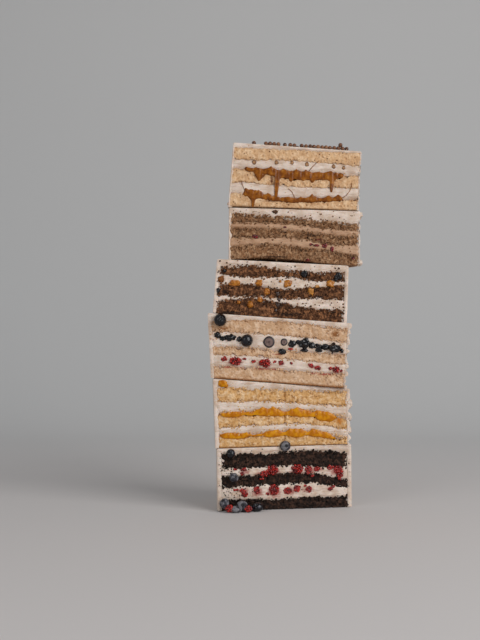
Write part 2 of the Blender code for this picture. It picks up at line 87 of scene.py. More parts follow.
def spot(cake, along, back, z, inset=0.0, front=0.0):
    """A point of a half cake. along is -1 at its left end and 1 at its right, back is 0 at the
    cut and 1 at the back, inset is how far the side stands in, and front how far it stands out
    of the cut. The sides lean, so a few rounds settle the place and the height."""
    angle, rise = math.radians(cake.turn), 0.5
    for _ in range(3):
        left = (cake.foot[0] + (cake.head[0] - cake.foot[0]) * rise) * MM + inset
        right = (cake.foot[1] + (cake.head[1] - cake.foot[1]) * rise) * MM - inset
        reach = (right - left) / 2
        across = (left + right) / 2 + reach * along
        away = reach * back - cake.forward * MM - front
        x = across * math.cos(angle) - away * math.sin(angle) + AXIS.x
        y = across * math.sin(angle) + away * math.cos(angle) + AXIS.y
        rise = (z - level(cake.bed, x)) / (level(cake.roof, x) - level(cake.bed, x))
    return Vector((x, y, z))


def half_width(cake):
    return (cake.foot[1] - cake.foot[0]) / 2 * MM - cake.coat * MM


def seams(cake, kind):
    """Heights of a layer's underside and top at even places across its cut, felt on its solid
    behind the fruit and evened out."""
    node = f"{cake.name}_{kind}"
    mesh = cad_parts[node].data
    corners = [vertex.co for vertex in mesh.vertices]
    solid = BVHTree.FromPolygons(corners, [face.vertices for face in mesh.polygons])
    low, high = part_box(node)
    felt = []
    for place in range(PLACES_FELT):
        along = FELT_TO * (2 * place / (PLACES_FELT - 1) - 1)
        deep = math.sqrt(1 - along * along)
        back = min(deep / 2, BEHIND_FRUIT / half_width(cake))
        probe = spot(cake, along, back, high.z, cake.coat * MM)
        over, under = Vector((probe.x, probe.y, high.z + 1)), Vector((probe.x, probe.y, low.z - 1))
        top = solid.ray_cast(over, Vector((0, 0, -1)))[0]
        bottom = solid.ray_cast(under, Vector((0, 0, 1)))[0]
        felt.append((bottom.z, top.z) if top and bottom else None)
    sound = [place for place, pair in enumerate(felt) if pair]
    felt = [felt[min(sound, key=lambda near: abs(near - place))] for place in range(PLACES_FELT)]
    ends = [felt[0]] * FELT_BESIDE + felt + [felt[-1]] * FELT_BESIDE
    evened = []
    for place in range(PLACES_FELT):
        near = ends[place:place + 2 * FELT_BESIDE + 1]
        evened.append([sum(pair[side] for pair in near) / len(near) for side in (0, 1)])
    return np.array(evened)


def at(heights, along):
    """The underside and top at a place across the cut, carried on to its ends."""
    place = (along / FELT_TO + 1) / 2 * (PLACES_FELT - 1)
    start = min(max(int(place), 0), PLACES_FELT - 2)
    return heights[start] + (heights[start + 1] - heights[start]) * (place - start)


def write(piece, name, values):
    """Stores one number for each point of a piece, for its material to read."""
    found = piece.data.attributes.get(name) or piece.data.attributes.new(name, "FLOAT", "POINT")
    found.data.foreach_set("value", np.array(values, np.float32))


def read(piece, name):
    values = np.zeros(len(piece.data.vertices), np.float32)
    piece.data.attributes[name].data.foreach_get("value", values)
    return values


def nothing_selected():
    for found in bpy.context.selected_objects:
        found.select_set(False)


def edit(piece, kind="VERT"):
    """Goes into edit mode on one piece, with nothing of it selected."""
    nothing_selected()
    bpy.context.view_layer.objects.active = piece
    piece.select_set(True)
    bpy.ops.object.mode_set(mode="EDIT")
    bpy.ops.mesh.select_mode(type=kind)
    bpy.ops.mesh.select_all(action="DESELECT")


def done():
    bpy.ops.object.mode_set(mode="OBJECT")


def layer(cake, kind, cut, step=CRUMB_STEP, spare=0.0):
    """One layer of a half cake: a fine grid laid on the cut between the layer's underside and
    top, pushed about by the function cut, then drawn back to the round side and closed. cut
    gives for a point how far it goes aside, out of the cut and up, and how deep in a pore it
    lies. spare is how far the layer's ends reach into the coat."""
    heights = seams(cake, kind)
    width, thickest = 2 * half_width(cake), float((heights[:, 1] - heights[:, 0]).max())
    nothing_selected()
    bpy.ops.mesh.primitive_grid_add(
        x_subdivisions=round(width / step), y_subdivisions=max(6, round(thickest / step)), size=2
    )
    piece = bpy.context.object
    piece.name = f"{cake.name}_{kind}_cut"
    along = [vertex.co.x for vertex in piece.data.vertices]
    up = [(vertex.co.y + 1) / 2 for vertex in piece.data.vertices]
    write(piece, "along", along)
    write(piece, "up", up)
    edit(piece, "EDGE")
    bpy.ops.mesh.select_non_manifold()
    bpy.ops.mesh.extrude_region_move(TRANSFORM_OT_translate={"value": (0, 0, -1)})
    done()
    along, up, pit_shades = read(piece, "along"), read(piece, "up"), []
    inset = cake.coat * MM - spare
    for vertex, a, v in zip(piece.data.vertices, along, up):
        bottom, top = at(heights, a)
        z = bottom + (top - bottom) * v
        if vertex.co.z < -0.5:
            vertex.co = spot(cake, a, math.sqrt(max(0, 1 - a * a)), z, inset)
            pit_shades.append(0)
            continue
        place = spot(cake, a, 0, z, inset)
        side = (1 - abs(a)) * width / 2
        push = cut(place.x, z, z - bottom, top - z, side)
        aside = max(inset - push[0], THINNEST_COAT)
        vertex.co = spot(cake, a, 0, z + push[2], aside, push[1])
        vertex.co.z = max(vertex.co.z, level(cake.bed, vertex.co.x))
        pit_shades.append(push[3])
    # Stores for each point how deep it lies in a hollow, painted as shade by the sponge's material.
    write(piece, "pit_shade_and_tone", pit_shades)
    edit(piece, "EDGE")
    bpy.ops.mesh.select_all(action="SELECT")
    bpy.ops.mesh.remove_doubles(threshold=SAME_POINT)
    bpy.ops.mesh.select_all(action="DESELECT")
    bpy.ops.mesh.select_non_manifold()
    bpy.ops.mesh.fill(use_beauty=True)
    bpy.ops.mesh.select_all(action="SELECT")
    bpy.ops.mesh.normals_make_consistent(inside=False)
    done()
    bpy.ops.object.shade_smooth_by_angle(angle=math.radians(75))
    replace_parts(piece, f"{cake.name}_{kind}")
    return piece


def torn(clod, grit, pore, depth, ragged, drift, knife=None, seated=False, spill=0.45):
    """A cut through crumb: clods with grit and pores, its rim ragged and rounded off. clod,
    grit and pore are their sizes in mm, drift moves the pattern, and knife is where the point
    of the knife left an upright mark, in mm across the tower. A seated sponge lies flat on
    what carries it, and spill is how far its rim falls over the cream."""

    def cut(x, z, below, above, side):
        here = Vector((x, z, drift)) / MM
        near, middles = noise.voronoi(here / pore)
        hole = max(0.0, 1 - near[0] / (0.34 + 0.18 * noise.cell(middles[0] * 5.3)))
        rough = 0.45 * noise.noise(here / clod) + 0.40 * noise.noise(here / grit)
        inward = depth * (0.3 + rough + 0.8 * hole)
        rim = min(below, above, side)
        inward += 0.5 * max(0.0, 1 - rim / (1.0 * MM)) ** 2
        if knife is not None:
            aside = (x - AXIS.x) / MM - knife - 1.5 * noise.noise(Vector((0, here.y / 9, 0)))
            inward += KNIFE_MARK * math.exp(-(aside / 0.9) ** 2)
        loose = spill + 2.3 * noise.noise(here / 3.8) + 1.5 * noise.noise(here / 1.6)
        loose += 1.2 * noise.noise(here / 9)
        shift = ragged * loose * max(0.0, 1 - rim / RIM_SPILLS) * MM
        over = shift if above <= below else -shift
        if seated and below < above:
            over = 0.0
        # How deep the point lies in a hollow of the crumb, which the sponge's material paints as shade.
        pit_shade_and_tone = min(1.0, max(0.0, inward / depth - 0.2))
        if side < min(below, above):
            return shift, -inward * MM, 0.0, pit_shade_and_tone
        return 0.0, -inward * MM, over, pit_shade_and_tone

    return cut


def paint(red, green, blue):
    """A colour from its three values as a picture shows them, from 0 to 255."""
    values = [value / 255 for value in (red, green, blue)]
    flat = [v / 12.92 if v <= 0.04045 else ((v + 0.055) / 1.055) ** 2.4 for v in values]
    return (*flat, 1)


def new_finish(name, roughness, **sockets):
    """A new material, with the shader's own constant values set."""
    made = bpy.data.materials.new(name)
    made.use_nodes = True
    shader = made.node_tree.nodes["Principled BSDF"]
    shader.inputs["Roughness"].default_value = roughness
    for socket, value in sockets.items():
        shader.inputs[socket.replace("_", " ")].default_value = value
    return made


def put(finish, socket, value):
    """Sets a socket to a value, or joins it to another node's output."""
    if isinstance(value, bpy.types.NodeSocket):
        finish.node_tree.links.new(value, socket)
    else:
        socket.default_value = value


def place_read(finish, stretch=(1, 1, 1)):
    """Object coordinates, made longer or shorter along each axis."""
    nodes, links = finish.node_tree.nodes, finish.node_tree.links
    where, mapped = nodes.new("ShaderNodeTexCoord"), nodes.new("ShaderNodeMapping")
    mapped.inputs["Scale"].default_value = stretch
    links.new(where.outputs["Object"], mapped.inputs["Vector"])
    return mapped.outputs["Vector"]


def cloudy(finish, size, detail=3, stretch=(1, 1, 1)):
    """Soft patches of about this size, in metres."""
    made = finish.node_tree.nodes.new("ShaderNodeTexNoise")
    made.inputs["Scale"].default_value = 1 / size
    made.inputs["Detail"].default_value = detail
    put(finish, made.inputs["Vector"], place_read(finish, stretch))
    return made.outputs["Fac"]


def cells(finish, size):
    """Distance from the middle of the nearest of many cells of this size."""
    made = finish.node_tree.nodes.new("ShaderNodeTexVoronoi")
    made.inputs["Scale"].default_value = 1 / size
    put(finish, made.inputs["Vector"], place_read(finish))
    return made.outputs["Distance"]


def stored(finish, name):
    made = finish.node_tree.nodes.new("ShaderNodeAttribute")
    made.attribute_name = name
    return made.outputs["Fac"]


def between(finish, value, low, high):
    """0 below low, 1 above high, and smooth between. High under low turns it round."""
    made = finish.node_tree.nodes.new("ShaderNodeMapRange")
    made.interpolation_type = "SMOOTHSTEP"
    put(finish, made.inputs["Value"], value)
    made.inputs["From Min"].default_value = low
    made.inputs["From Max"].default_value = high
    return made.outputs["Result"]


def times(finish, first, second):
    made = finish.node_tree.nodes.new("ShaderNodeMath")
    made.operation = "MULTIPLY"
    put(finish, made.inputs[0], first)
    put(finish, made.inputs[1], second)
    return made.outputs[0]


def mixed(finish, first, second, share):
    """Two colours mixed by a share."""
    made = finish.node_tree.nodes.new("ShaderNodeMix")
    made.data_type = "RGBA"
    put(finish, made.inputs[6], first)
    put(finish, made.inputs[7], second)
    put(finish, made.inputs[0], share)
    return made.outputs[2]


def coloured(finish, colour):
    put(finish, finish.node_tree.nodes["Principled BSDF"].inputs["Base Color"], colour)


def pressed(finish, heights, distance):
    """Relief too fine for the mesh, from one or more patterns."""
    tree = finish.node_tree
    before = None
    for height in heights:
        bump = tree.nodes.new("ShaderNodeBump")
        bump.inputs["Distance"].default_value = distance
        put(finish, bump.inputs["Height"], height)
        if before:
            put(finish, bump.inputs["Normal"], before)
        before = bump.outputs["Normal"]
    put(finish, tree.nodes["Principled BSDF"].inputs["Normal"], before)


def sponge_finish(name, light, middle, dark, fleck, grain=1.0, flecks=0.10,
                  soaked=(0, 0, 0, 1), rough=0.9):
    """Baked crumb: three tones in patches and clods, with flecks, and painted shade in its pores
    and hollows. It is browned where its crust shows, and darker where juice soaked in. rough is
    how strongly the grains and the painted shade of the pores show."""
    made = new_finish(name, 0.85, Specular_IOR_Level=0.25)
    patches, clods = cloudy(made, 9 * MM * grain), cloudy(made, 3.4 * MM * grain, 5)
    grains = cloudy(made, 1.5 * MM * grain, 4)
    colour = mixed(made, middle, light, between(made, clods, 0.44, 0.62))
    colour = mixed(made, colour, dark, times(made, between(made, patches, 0.50, 0.72), 0.45))
    colour = mixed(made, colour, dark, times(made, between(made, grains, 0.52, 0.70), rough))
    # Painted shade: darker in the small cells of the pores, outside the clods.
    pores = times(made, between(made, cells(made, 3.6 * MM * grain), 0.26, 0.10),
                  between(made, clods, 0.56, 0.46))
    colour = mixed(made, colour, dark, times(made, pores, rough))
    # Painted shade: darker where the cut lies deep in a hollow.
    colour = mixed(made, colour, dark, times(made, stored(made, "pit_shade_and_tone"), 0.8))
    spots = between(made, cells(made, 2.6 * MM * grain), flecks * 1.6, flecks)
    spots = times(made, spots, between(made, cloudy(made, 4 * MM, 1), 0.50, 0.60))
    colour = mixed(made, colour, fleck, spots)
    colour = mixed(made, colour, fleck, times(made, stored(made, "crust"), 0.9))
    colour = mixed(made, colour, soaked, times(made, stored(made, "stain"), 0.85))
    coloured(made, colour)
    pressed(made, [grains, clods], 0.6 * MM)
    return made


def marks_at(piece, spots):
    """How much each point of a piece lies in one of some uneven spots, (x, z, width, height)
    in mm."""
    if not spots:
        return np.zeros(len(piece.data.vertices))
    marks = []
    for vertex in piece.data.vertices:
        here = vertex.co / MM
        wander = 0.45 * noise.noise(here / 1.7) + 0.3 * noise.noise(here / 4)
        most = 0.0
        for x, z, width, height in spots:
            far = math.hypot(2 * (here.x - AXIS.x / MM - x) / width, 2 * (here.z - z) / height)
            most = max(most, min(1.0, max(0.0, 1.6 * (1 - far + wander))))
        marks.append(most)
    return np.array(marks)


def browned(piece, low, high, spots):
    """Marks the baked crust of a sponge, along its underside and its top and in spots."""
    up = read(piece, "up")
    crust = low * np.clip(1.3 - up / 0.16, 0, 1) + high * np.clip((up - 0.85) / 0.12, 0, 1)
    write(piece, "crust", np.maximum(crust, marks_at(piece, spots)))
    return piece


def soaked(piece, spots):
    """Marks where juice or sauce soaked into a layer."""
    write(piece, "stain", marks_at(piece, spots))
    return piece


def dress(piece, finish):
    """Gives a piece its material and lets it ride on the tower."""
    piece.data.materials.clear()
    piece.data.materials.append(finish)
    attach(piece, "root")
    return piece


def sponges(cake, finish, drift, low=(0, 0, 0), high=(0, 0, 0), spots=(), stains=(), **shape):
    """The three sponges of a cake, from the lowest up. low and high are how brown the underside
    and the top of each are, spots are more crust, and stains lie where juice soaked in."""
    for number, kind in enumerate(SPONGES):
        cut = torn(drift=drift + 11.0 * number, seated=number == 0, **shape)
        made = browned(layer(cake, kind, cut, spare=SPONGE_SPARE), low[number], high[number], spots)
        dress(soaked(made, stains), finish)


# The cocoa crumb's palest tone, on its clods, is partly a painted highlight on them, brighter than the
# crumb itself.
cocoa_crumb = sponge_finish(
    "cocoa_crumb", paint(74, 50, 38), paint(34, 21, 14), paint(10, 6, 4), paint(8, 5, 4), 1.2, 0.2
)
sponges(COCOA, cocoa_crumb, 0, clod=4.5, grit=1.8, pore=3.4, depth=2.6, ragged=1.9)


# The creams of the cocoa cake: whipped cream cheese filling, spread between the sponges with
# raspberries in it, and dragged a little by the knife when the cake was cut.

CREAMS = ("cream_low", "cream_high")
CREAM_STEP = 0.8 * MM
CREAM_SPARE = 1.8 * MM
CREAM_RIM = 2.8 * MM
CREAM_BACK = 3.2
TUCKED = 2.0


def spread(drag, dab, drift, over=0.0, scratch=0.0):
    """A cut through cream: long drag marks and soft dabs, in mm, its upper and lower rim tucked
    in behind the crumb. over is how much further its lower rim reaches, under a sauce."""

    def cut(x, z, below, above, side):
        here = Vector((x / 20, z / 2.3, drift * MM)) / MM
        soft = Vector((x / 6, z / 4, drift * MM)) / MM
        out = 0.12 + drag * noise.noise(here) + dab * noise.noise(soft)
        if scratch:
            out += scratch * noise.noise(Vector((x, z, drift * MM)) / (1.5 * MM))
        rim = min(below, above)
        under = max(0.0, 1 - rim / CREAM_RIM)
        lift = under * (TUCKED if above < below else -TUCKED - over) * MM
        end_in = max(0.0, 1 - side / (2.5 * MM)) * 0.9
        return 0.0, (out - CREAM_BACK * under ** 1.2 - end_in) * MM, lift, max(0.0, -out)

    return cut


def cream_finish(name, base, shade, warm, juice):
    """Cream: a soft off-white with faint warm patches, fine drag lines and a moist sheen, and
    tinted where juice ran into it."""
    made = new_finish(
        name, 0.5, Subsurface_Weight=0.12, Subsurface_Radius=(0.004, 0.002, 0.001),
        Subsurface_Scale=0.5,
    )
    patches = cloudy(made, 12 * MM)
    lines = cloudy(made, 3 * MM, 3, (0.25, 1, 1.6))
    colour = mixed(made, base, shade, between(made, patches, 0.35, 0.70))
    colour = mixed(made, colour, warm, times(made, between(made, lines, 0.5, 0.72), 0.6))
    colour = mixed(made, colour, juice, times(made, stored(made, "stain"), 0.75))
    coloured(made, colour)
    pressed(made, [lines, cloudy(made, 1.4 * MM, 2)], 0.25 * MM)
    return made


def creams(cake, finish, drift, slot="cream", stains=(), **shape):
    """The two creams of a cake. stains lie where juice ran into them."""
    for number, kind in enumerate(CREAMS):
        cut = spread(drift=drift + 9 * number, **shape)
        made = soaked(layer(cake, kind, cut, CREAM_STEP, CREAM_SPARE), stains)
        dress(made, finish)


white_cream = cream_finish(
    "white_cream",
    paint(224, 206, 192), paint(200, 175, 154), paint(176, 144, 118), paint(150, 58, 48),
)
creams(COCOA, white_cream, 5.0, stains=(
    (-48, 23, 16, 7), (-31, 20, 16, 12), (-12, 19, 20, 14), (8, 20, 16, 10), (26, 22, 16, 8),
    (52, 22, 10, 6), (-46, 43, 14, 6), (-26, 41, 18, 9), (-12, 41, 18, 10), (14, 43, 20, 12),
    (30, 43, 14, 10), (58, 42, 16, 12), (40, 45, 12, 5),
), drag=0.4, dab=0.4, scratch=0.35)


# The coat of the cocoa cake: the same cream smoothed over the top and round the side with a
# scraper, cut through with the cake, so that it frames the layers on three sides.

COAT_CELLS = 6
WALL_ROWS = 52
TOP_ROWS = 56
ROUND_STEPS = 84
EDGE_ROUND = 2.2 * MM
SCRAPER_WAVE = 0.35
INNER_BACK = 2.2 * MM
OUTER_BACK = 0.5 * MM
BEHIND_LAYERS = 1.2 * MM
TORN_BACK_TO = 0.3
TORN_THROUGH = 0.7


def coat(cake, ragged=0.0, lift=0.3):
    """The icing of a half cake. A strip of its section, from the foot of the side to the middle
    of the top, is spun half a turn, and then bent to the cake. ragged is how torn its right
    edge is, and lift how far it hangs over what carries the cake, in mm."""
    ceiling = seams(cake, "sponge_high")[:, 1] + 0.3 * MM
    ceiling = np.stack([ceiling, ceiling], axis=1)
    nothing_selected()
    bpy.ops.mesh.primitive_grid_add(
        x_subdivisions=COAT_CELLS, y_subdivisions=WALL_ROWS + TOP_ROWS, size=2,
        location=(2, 0, 0), rotation=(math.pi / 2, 0, 0),
    )
    piece = bpy.context.object
    piece.name = f"{cake.name}_icing_coat"
    bpy.ops.object.transform_apply(location=True, rotation=True)
    edit(piece)
    bpy.ops.mesh.select_all(action="SELECT")
    bpy.ops.mesh.spin(steps=ROUND_STEPS, angle=math.pi, center=(0, 0, 0), axis=(0, 0, 1))
    done()
    share = WALL_ROWS / (WALL_ROWS + TOP_ROWS)
    radius = half_width(cake) + cake.coat * MM
    sliced = []
    for vertex in piece.data.vertices:
        x, y, z = vertex.co
        inward = (math.hypot(x, y) - 1) / 2
        turn = math.atan2(abs(y), x)
        profile = (z + 1) / 2
        if profile > 0.999:
            turn = 0.0
        at_cut = min(turn, math.pi - turn) < 0.01
        inset = inward * cake.coat * MM
        if at_cut and inward > 0.99:
            inset += BEHIND_LAYERS
        wall = profile <= share
        rim = min(1.0, (1 - profile) / (1 - share)) if not wall else 1.0
        near = rim * (1 - inset / radius)
        along, back = near * math.cos(turn), near * math.sin(turn)
        if at_cut:
            back = 0.0
        guess = spot(cake, along, back, level(cake.bed, 0))
        foot, head = level(cake.bed, guess.x) + lift * MM, level(cake.roof, guess.x)
        under = at(ceiling, along * radius / half_width(cake))[0]
        if wall:
            climb = profile / share
            inner, outer = foot + (under - foot) * climb, foot + (head - foot) * climb
        else:
            inner, outer = under, head
        height = outer + (inner - outer) * inward
        corner = EDGE_ROUND * (1 - inward)
        over_edge = head - height if wall else (1 - rim) * radius
        if corner and over_edge < corner:
            swing = math.pi / 4 * (1 - over_edge / corner)
            if wall:
                inset += corner * (1 - math.cos(swing))
                height = head - corner * (1 - math.sin(swing))
            else:
                inset += corner * (1 - math.cos(math.pi / 2 - swing))
                height -= corner * (1 - math.sin(math.pi / 2 - swing))
                rim = 1.0
            near = rim * (1 - inset / radius)
            along, back = near * math.cos(turn), 0.0 if at_cut else near * math.sin(turn)
        front = 0.0
        here = Vector((turn * radius / 34, height / 7, cake.turn * MM)) / MM
        soft = Vector((turn * radius, height, cake.turn * MM)) / (14 * MM)
        if at_cut:
            place = Vector((guess.x, height, 0))
            front = (0.12 + 0.3 * noise.noise(place / (9 * MM))) * MM
            front += 0.25 * MM * noise.noise(place / (2.4 * MM))
            wander = 0.5 + 1.7 * noise.noise(soft * 4.2) + 1.1 * noise.noise(soft * 11)
            wander = max(0.0, wander) * inward ** 2 * MM
            inset += wander if wall else 0.0
            height -= 0.0 if wall else wander
            front -= INNER_BACK * max(0.0, 2 * inward - 1) ** 1.5
            if inward > 0.99 and not wall:
                height -= BEHIND_LAYERS
            if inward < 0.01:
                front -= OUTER_BACK
        press = SCRAPER_WAVE * (0.5 + 0.5 * noise.noise(here) + 0.4 * noise.noise(soft)) * MM
        press = max(0.0, press) * (1 - inward)
        if wall:
            if along > 0 and back < TORN_BACK_TO:
                edge = height / MM
                torn_off = 0.3 + 1.5 * noise.noise(Vector((9.4, edge / 5.0, 0.3)))
                torn_off += 0.7 * noise.noise(Vector((3.4, edge / 1.8, back * 20)))
                torn_off = ragged * max(0.0, torn_off) * (1 - back / TORN_BACK_TO)
                torn_off *= min(1.0, 8 - 8 * climb)
                press += min(torn_off, TORN_THROUGH * cake.coat) * (1 - inward) * MM
            inset += press
            near = rim * (1 - inset / radius)
            along = near * math.cos(turn)
            back = 0.0 if at_cut else near * math.sin(turn)
        else:
            height -= press * 0.7
        vertex.co = spot(cake, along, back, height, 0.0, front)
        sliced.append(float(at_cut))
    write(piece, "sliced", sliced)
    edit(piece)
    bpy.ops.mesh.select_all(action="SELECT")
    bpy.ops.mesh.remove_doubles(threshold=SAME_POINT)
    bpy.ops.mesh.normals_make_consistent(inside=False)
    done()
    bpy.ops.object.shade_smooth_by_angle(angle=math.radians(50))
    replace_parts(piece, f"{cake.name}_icing")
    return piece


def icing_finish(name, base, shade, warm):
    """Icing smoothed with a scraper: level bands, faint pits and a satin face."""
    made = new_finish(
        name, 0.48, Subsurface_Weight=0.1, Subsurface_Radius=(0.004, 0.002, 0.001),
        Subsurface_Scale=0.5,
    )
    bands = cloudy(made, 6 * MM, 4, (0.2, 0.2, 1.4))
    patches = cloudy(made, 20 * MM)
    colour = mixed(made, base, shade, between(made, bands, 0.40, 0.68))
    colour = mixed(made, colour, warm, times(made, between(made, patches, 0.45, 0.70), 0.4))
    coloured(made, colour)
    pressed(made, [bands, cloudy(made, 1.6 * MM, 2)], 0.25 * MM)
    return made


white_icing = icing_finish(
    "white_icing", paint(214, 196, 180), paint(204, 184, 166), paint(190, 164, 142)
)


def iced(cake, finish=white_icing, **shape):
    """A coat in its finish. Where it was cut through, it shows the cream that it is made of."""
    piece = dress(coat(cake, **shape), finish)
    piece.data.materials.append(white_cream)
    cut = read(piece, "sliced")
    for face in piece.data.polygons:
        face.material_index = int(all(cut[corner] > 0.5 for corner in face.vertices))
    return piece


iced(COCOA, lift=0.8)


# The blueberries of the cocoa cake: whole, with a waxy bloom and a five-lobed crown. One is
# caught under the mango cake and two are stuck in the crumb.

CROWN_AT = 0.36
CROWN_REACH = 0.55
DISH_REACH = 0.32
TO_THE_CROWN = 1.35
FLATTENED = 0.88


def new_berry(name, segments=32, rings=26):
    """A round berry of radius 1 with its crown on top: a dish in a lip of five lobes. Its rings
    lie closer together at the crown."""
    nothing_selected()
    bpy.ops.mesh.primitive_uv_sphere_add(segments=segments, ring_count=rings, radius=1)
    piece = bpy.context.object
    piece.name = name
    crown = []
    for vertex in piece.data.vertices:
        x, y, z = vertex.co.normalized()
        turn = math.atan2(y, x)
        away = math.pi * (math.acos(max(-1.0, min(1.0, z))) / math.pi) ** TO_THE_CROWN
        lobes = 0.5 + 0.5 * math.cos(5 * turn)
        lip = 0.12 * lobes * math.exp(-((away - CROWN_AT) / 0.09) ** 2)
        dish = 0.22 * max(0.0, 1 - (away / DISH_REACH) ** 2)
        out = math.sin(away)
        shape = Vector((out * math.cos(turn), out * math.sin(turn), FLATTENED * math.cos(away)))
        vertex.co = shape * (1 + lip - dish)
        crown.append(max(0.0, 1 - away / CROWN_REACH))
    write(piece, "crown", crown)
    return piece


def toward(way):
    """The turn that points the top of a piece along way."""
    return Vector((0, 0, 1)).rotation_difference(Vector(way))


def fitted(piece, low, high, way, uneven, lumps, drift):
    """Turns a piece so that its top points along way, makes it uneven, and fits it between two
    corners. lumps is how many lumps lie across it."""
    turn = toward(way)
    points = []
    for vertex in piece.data.vertices:
        there = turn @ vertex.co
        points.append(there * (1 + uneven * noise.noise(there * lumps + Vector((drift, 0, 0)))))
    points = np.array(points)
    least, most = points.min(axis=0), points.max(axis=0)
    low, high = np.array(low), np.array(high)
    points = low + (points - least) / (most - least) * (high - low)
    for vertex, there in zip(piece.data.vertices, points):
        vertex.co = there
    bpy.ops.object.shade_smooth()
    return piece


def berry_finish(name, skin, bloom, crown, waxy, roughness):
    """Berry skin: dark, under a waxy bloom that is rubbed off in patches, and darkest in the
    crown. waxy is the share that the bloom covers."""
    made = new_finish(name, roughness, Specular_IOR_Level=0.45)
    rubbed = cloudy(made, 4.5 * MM, 5)
    covered = between(made, rubbed, 0.72 - 0.4 * waxy, 0.86 - 0.4 * waxy)
    haze = times(made, covered, 0.5 + 0.45 * waxy)
    colour = mixed(made, skin, bloom, haze)
    colour = mixed(made, colour, crown, between(made, stored(made, "crown"), 0.25, 0.55))
    coloured(made, colour)
    pressed(made, [cloudy(made, 1.8 * MM, 3)], 0.12 * MM)
    return made


frosted_skin = berry_finish(
    "frosted_berry", paint(38, 37, 46), paint(130, 128, 132), paint(24, 21, 26), 0.75, 0.5
)
glossy_skin = berry_finish(
    "glossy_berry", paint(16, 15, 21), paint(70, 74, 90), paint(9, 8, 12), 0.35, 0.18
)
wet_skin = berry_finish(
    "wet_berry", paint(13, 10, 13), paint(44, 38, 46), paint(6, 5, 6), 0.2, 0.14
)


def berry(node, finish, way, uneven, lumps, drift):
    """A whole blueberry in the place of its node."""
    low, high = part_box(node)
    piece = fitted(new_berry(node + "_skin"), low, high, way, uneven, lumps, drift)
    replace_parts(piece, node)
    return dress(piece, finish)


berry("blueberry_gap", frosted_skin, (0.25, -1, 0.15), 0.04, 1.2, 1.0)
berry("blueberry_corner", glossy_skin, (-0.5, -0.7, 0.6), 0.10, 1.6, 2.0)
berry("blueberry_ledge", frosted_skin, (0.5, -0.8, 0.4), 0.08, 1.4, 3.0)


# The raspberries of the cocoa cake, cut or broken when it was cut, and the loose bits of them:
# glossy drupelets packed round a core painted dark, as shade between them and in the hollow.


def new_knob(name, segments=8, rings=6):
    """A small ball of few faces, to be copied many times."""
    nothing_selected()
    bpy.ops.mesh.primitive_uv_sphere_add(segments=segments, ring_count=rings, radius=1)
    bpy.context.object.name = name
    return bpy.context.object


def strewn(name, knob, places):
    """One piece of many copies of a small shape. places holds for each its middle, its three
    radii, its turn as a quaternion, and a tone from 0 to 1 for its material."""
    points = np.array([vertex.co for vertex in knob.data.vertices])
    faces = [tuple(face.vertices) for face in knob.data.polygons]
    all_points, all_faces, tones = [], [], []
    for number, (middle, radii, turn, tone) in enumerate(places):
        shape = np.array(turn.to_matrix()) @ np.diag(radii)
        all_points.append(points @ shape.T + np.array(middle))
        start = number * len(points)
        all_faces.extend(tuple(start + corner for corner in face) for face in faces)
        tones.extend([tone] * len(points))
    mesh = bpy.data.meshes.new(name)
    mesh.from_pydata(np.concatenate(all_points).tolist(), [], all_faces)
    piece = bpy.data.objects.new(name, mesh)
    bpy.context.scene.collection.objects.link(piece)
    write(piece, "tone", tones)
    nothing_selected()
    bpy.context.view_layer.objects.active = piece
    piece.select_set(True)
    bpy.ops.object.shade_smooth()
    return piece


GOLDEN_TURN = 2.399963
CORE = 0.38
drupelet = new_knob("drupelet")


def drupelets(middle, size, knob, chance, hollow=None):
    """Places of the core and the drupelets of a raspberry of this size, wound round it. hollow
    is the way in which its empty core looks, and none lie there."""
    reach = [side / 2 - knob * 1.25 for side in size]
    mean = sum(reach) / 3 + knob * 0.4
    count = max(7, round(3.5 * (mean / knob) ** 2))
    # The core has tone 0, so that its material paints it dark, as shade between the drupelets.
    places = [(middle, [side * CORE for side in size], toward((0, 0, 1)), 0.0)]
    for number in range(count):
        height = 1 - 2 * (number + 0.5) / count
        round_it = math.sqrt(1 - height * height)
        turn = number * GOLDEN_TURN + 0.25 * chance.random()
        way = Vector((round_it * math.cos(turn), height, round_it * math.sin(turn)))
        if hollow and way.dot(Vector(hollow)) > 0.90:
            continue
        there = Vector(way[axis] * reach[axis] for axis in range(3))
        there += way * knob * chance.uniform(-0.35, 0.25)
        big = knob * chance.uniform(0.82, 1.22)
        radii = (big, big, big * 1.15)
        places.append((Vector(middle) + there, radii, toward(way), chance.random()))
    return places


def raspberry_finish(name, dark, red, bright):
    """Ripe raspberry: wet, translucent and unevenly red, from its drupelets' tones."""
    made = new_finish(
        name, 0.24, Subsurface_Weight=0.25, Subsurface_Radius=(0.004, 0.001, 0.001),
        Subsurface_Scale=0.3, Specular_IOR_Level=0.5,
    )
    tone, patches = stored(made, "tone"), cloudy(made, 3 * MM, 4)
    colour = mixed(made, dark, red, between(made, patches, 0.36, 0.56))
    colour = mixed(made, colour, bright, times(made, between(made, tone, 0.55, 0.95), 0.75))
    # Low tones are darker: some drupelets by chance, and the core fully, as painted shade.
    colour = mixed(made, colour, dark, times(made, between(made, tone, 0.35, 0.02), 0.8))
    coloured(made, colour)
    pressed(made, [cloudy(made, 0.9 * MM, 2)], 0.10 * MM)
    return made


red_flesh = raspberry_finish("red_flesh", paint(84, 12, 9), paint(152, 24, 17), paint(200, 44, 30))


def raspberry(node, drift, knob=1.35, hollow=None):
    """A raspberry in the place of its node."""
    low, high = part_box(node)
    places = drupelets((high + low) / 2, high - low, knob * MM, random.Random(drift), hollow)
    piece = strewn(node + "_drupelets", drupelet, places)
    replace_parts(piece, node)
    return dress(piece, red_flesh)


raspberry("raspberry_low_mid", drift=1, hollow=(0.1, -1, 0.1))
raspberry("raspberry_low_right", drift=2)
raspberry("raspberry_high_left", drift=3)
raspberry("raspberry_high_mid", drift=4)
raspberry("raspberry_high_right", drift=5)


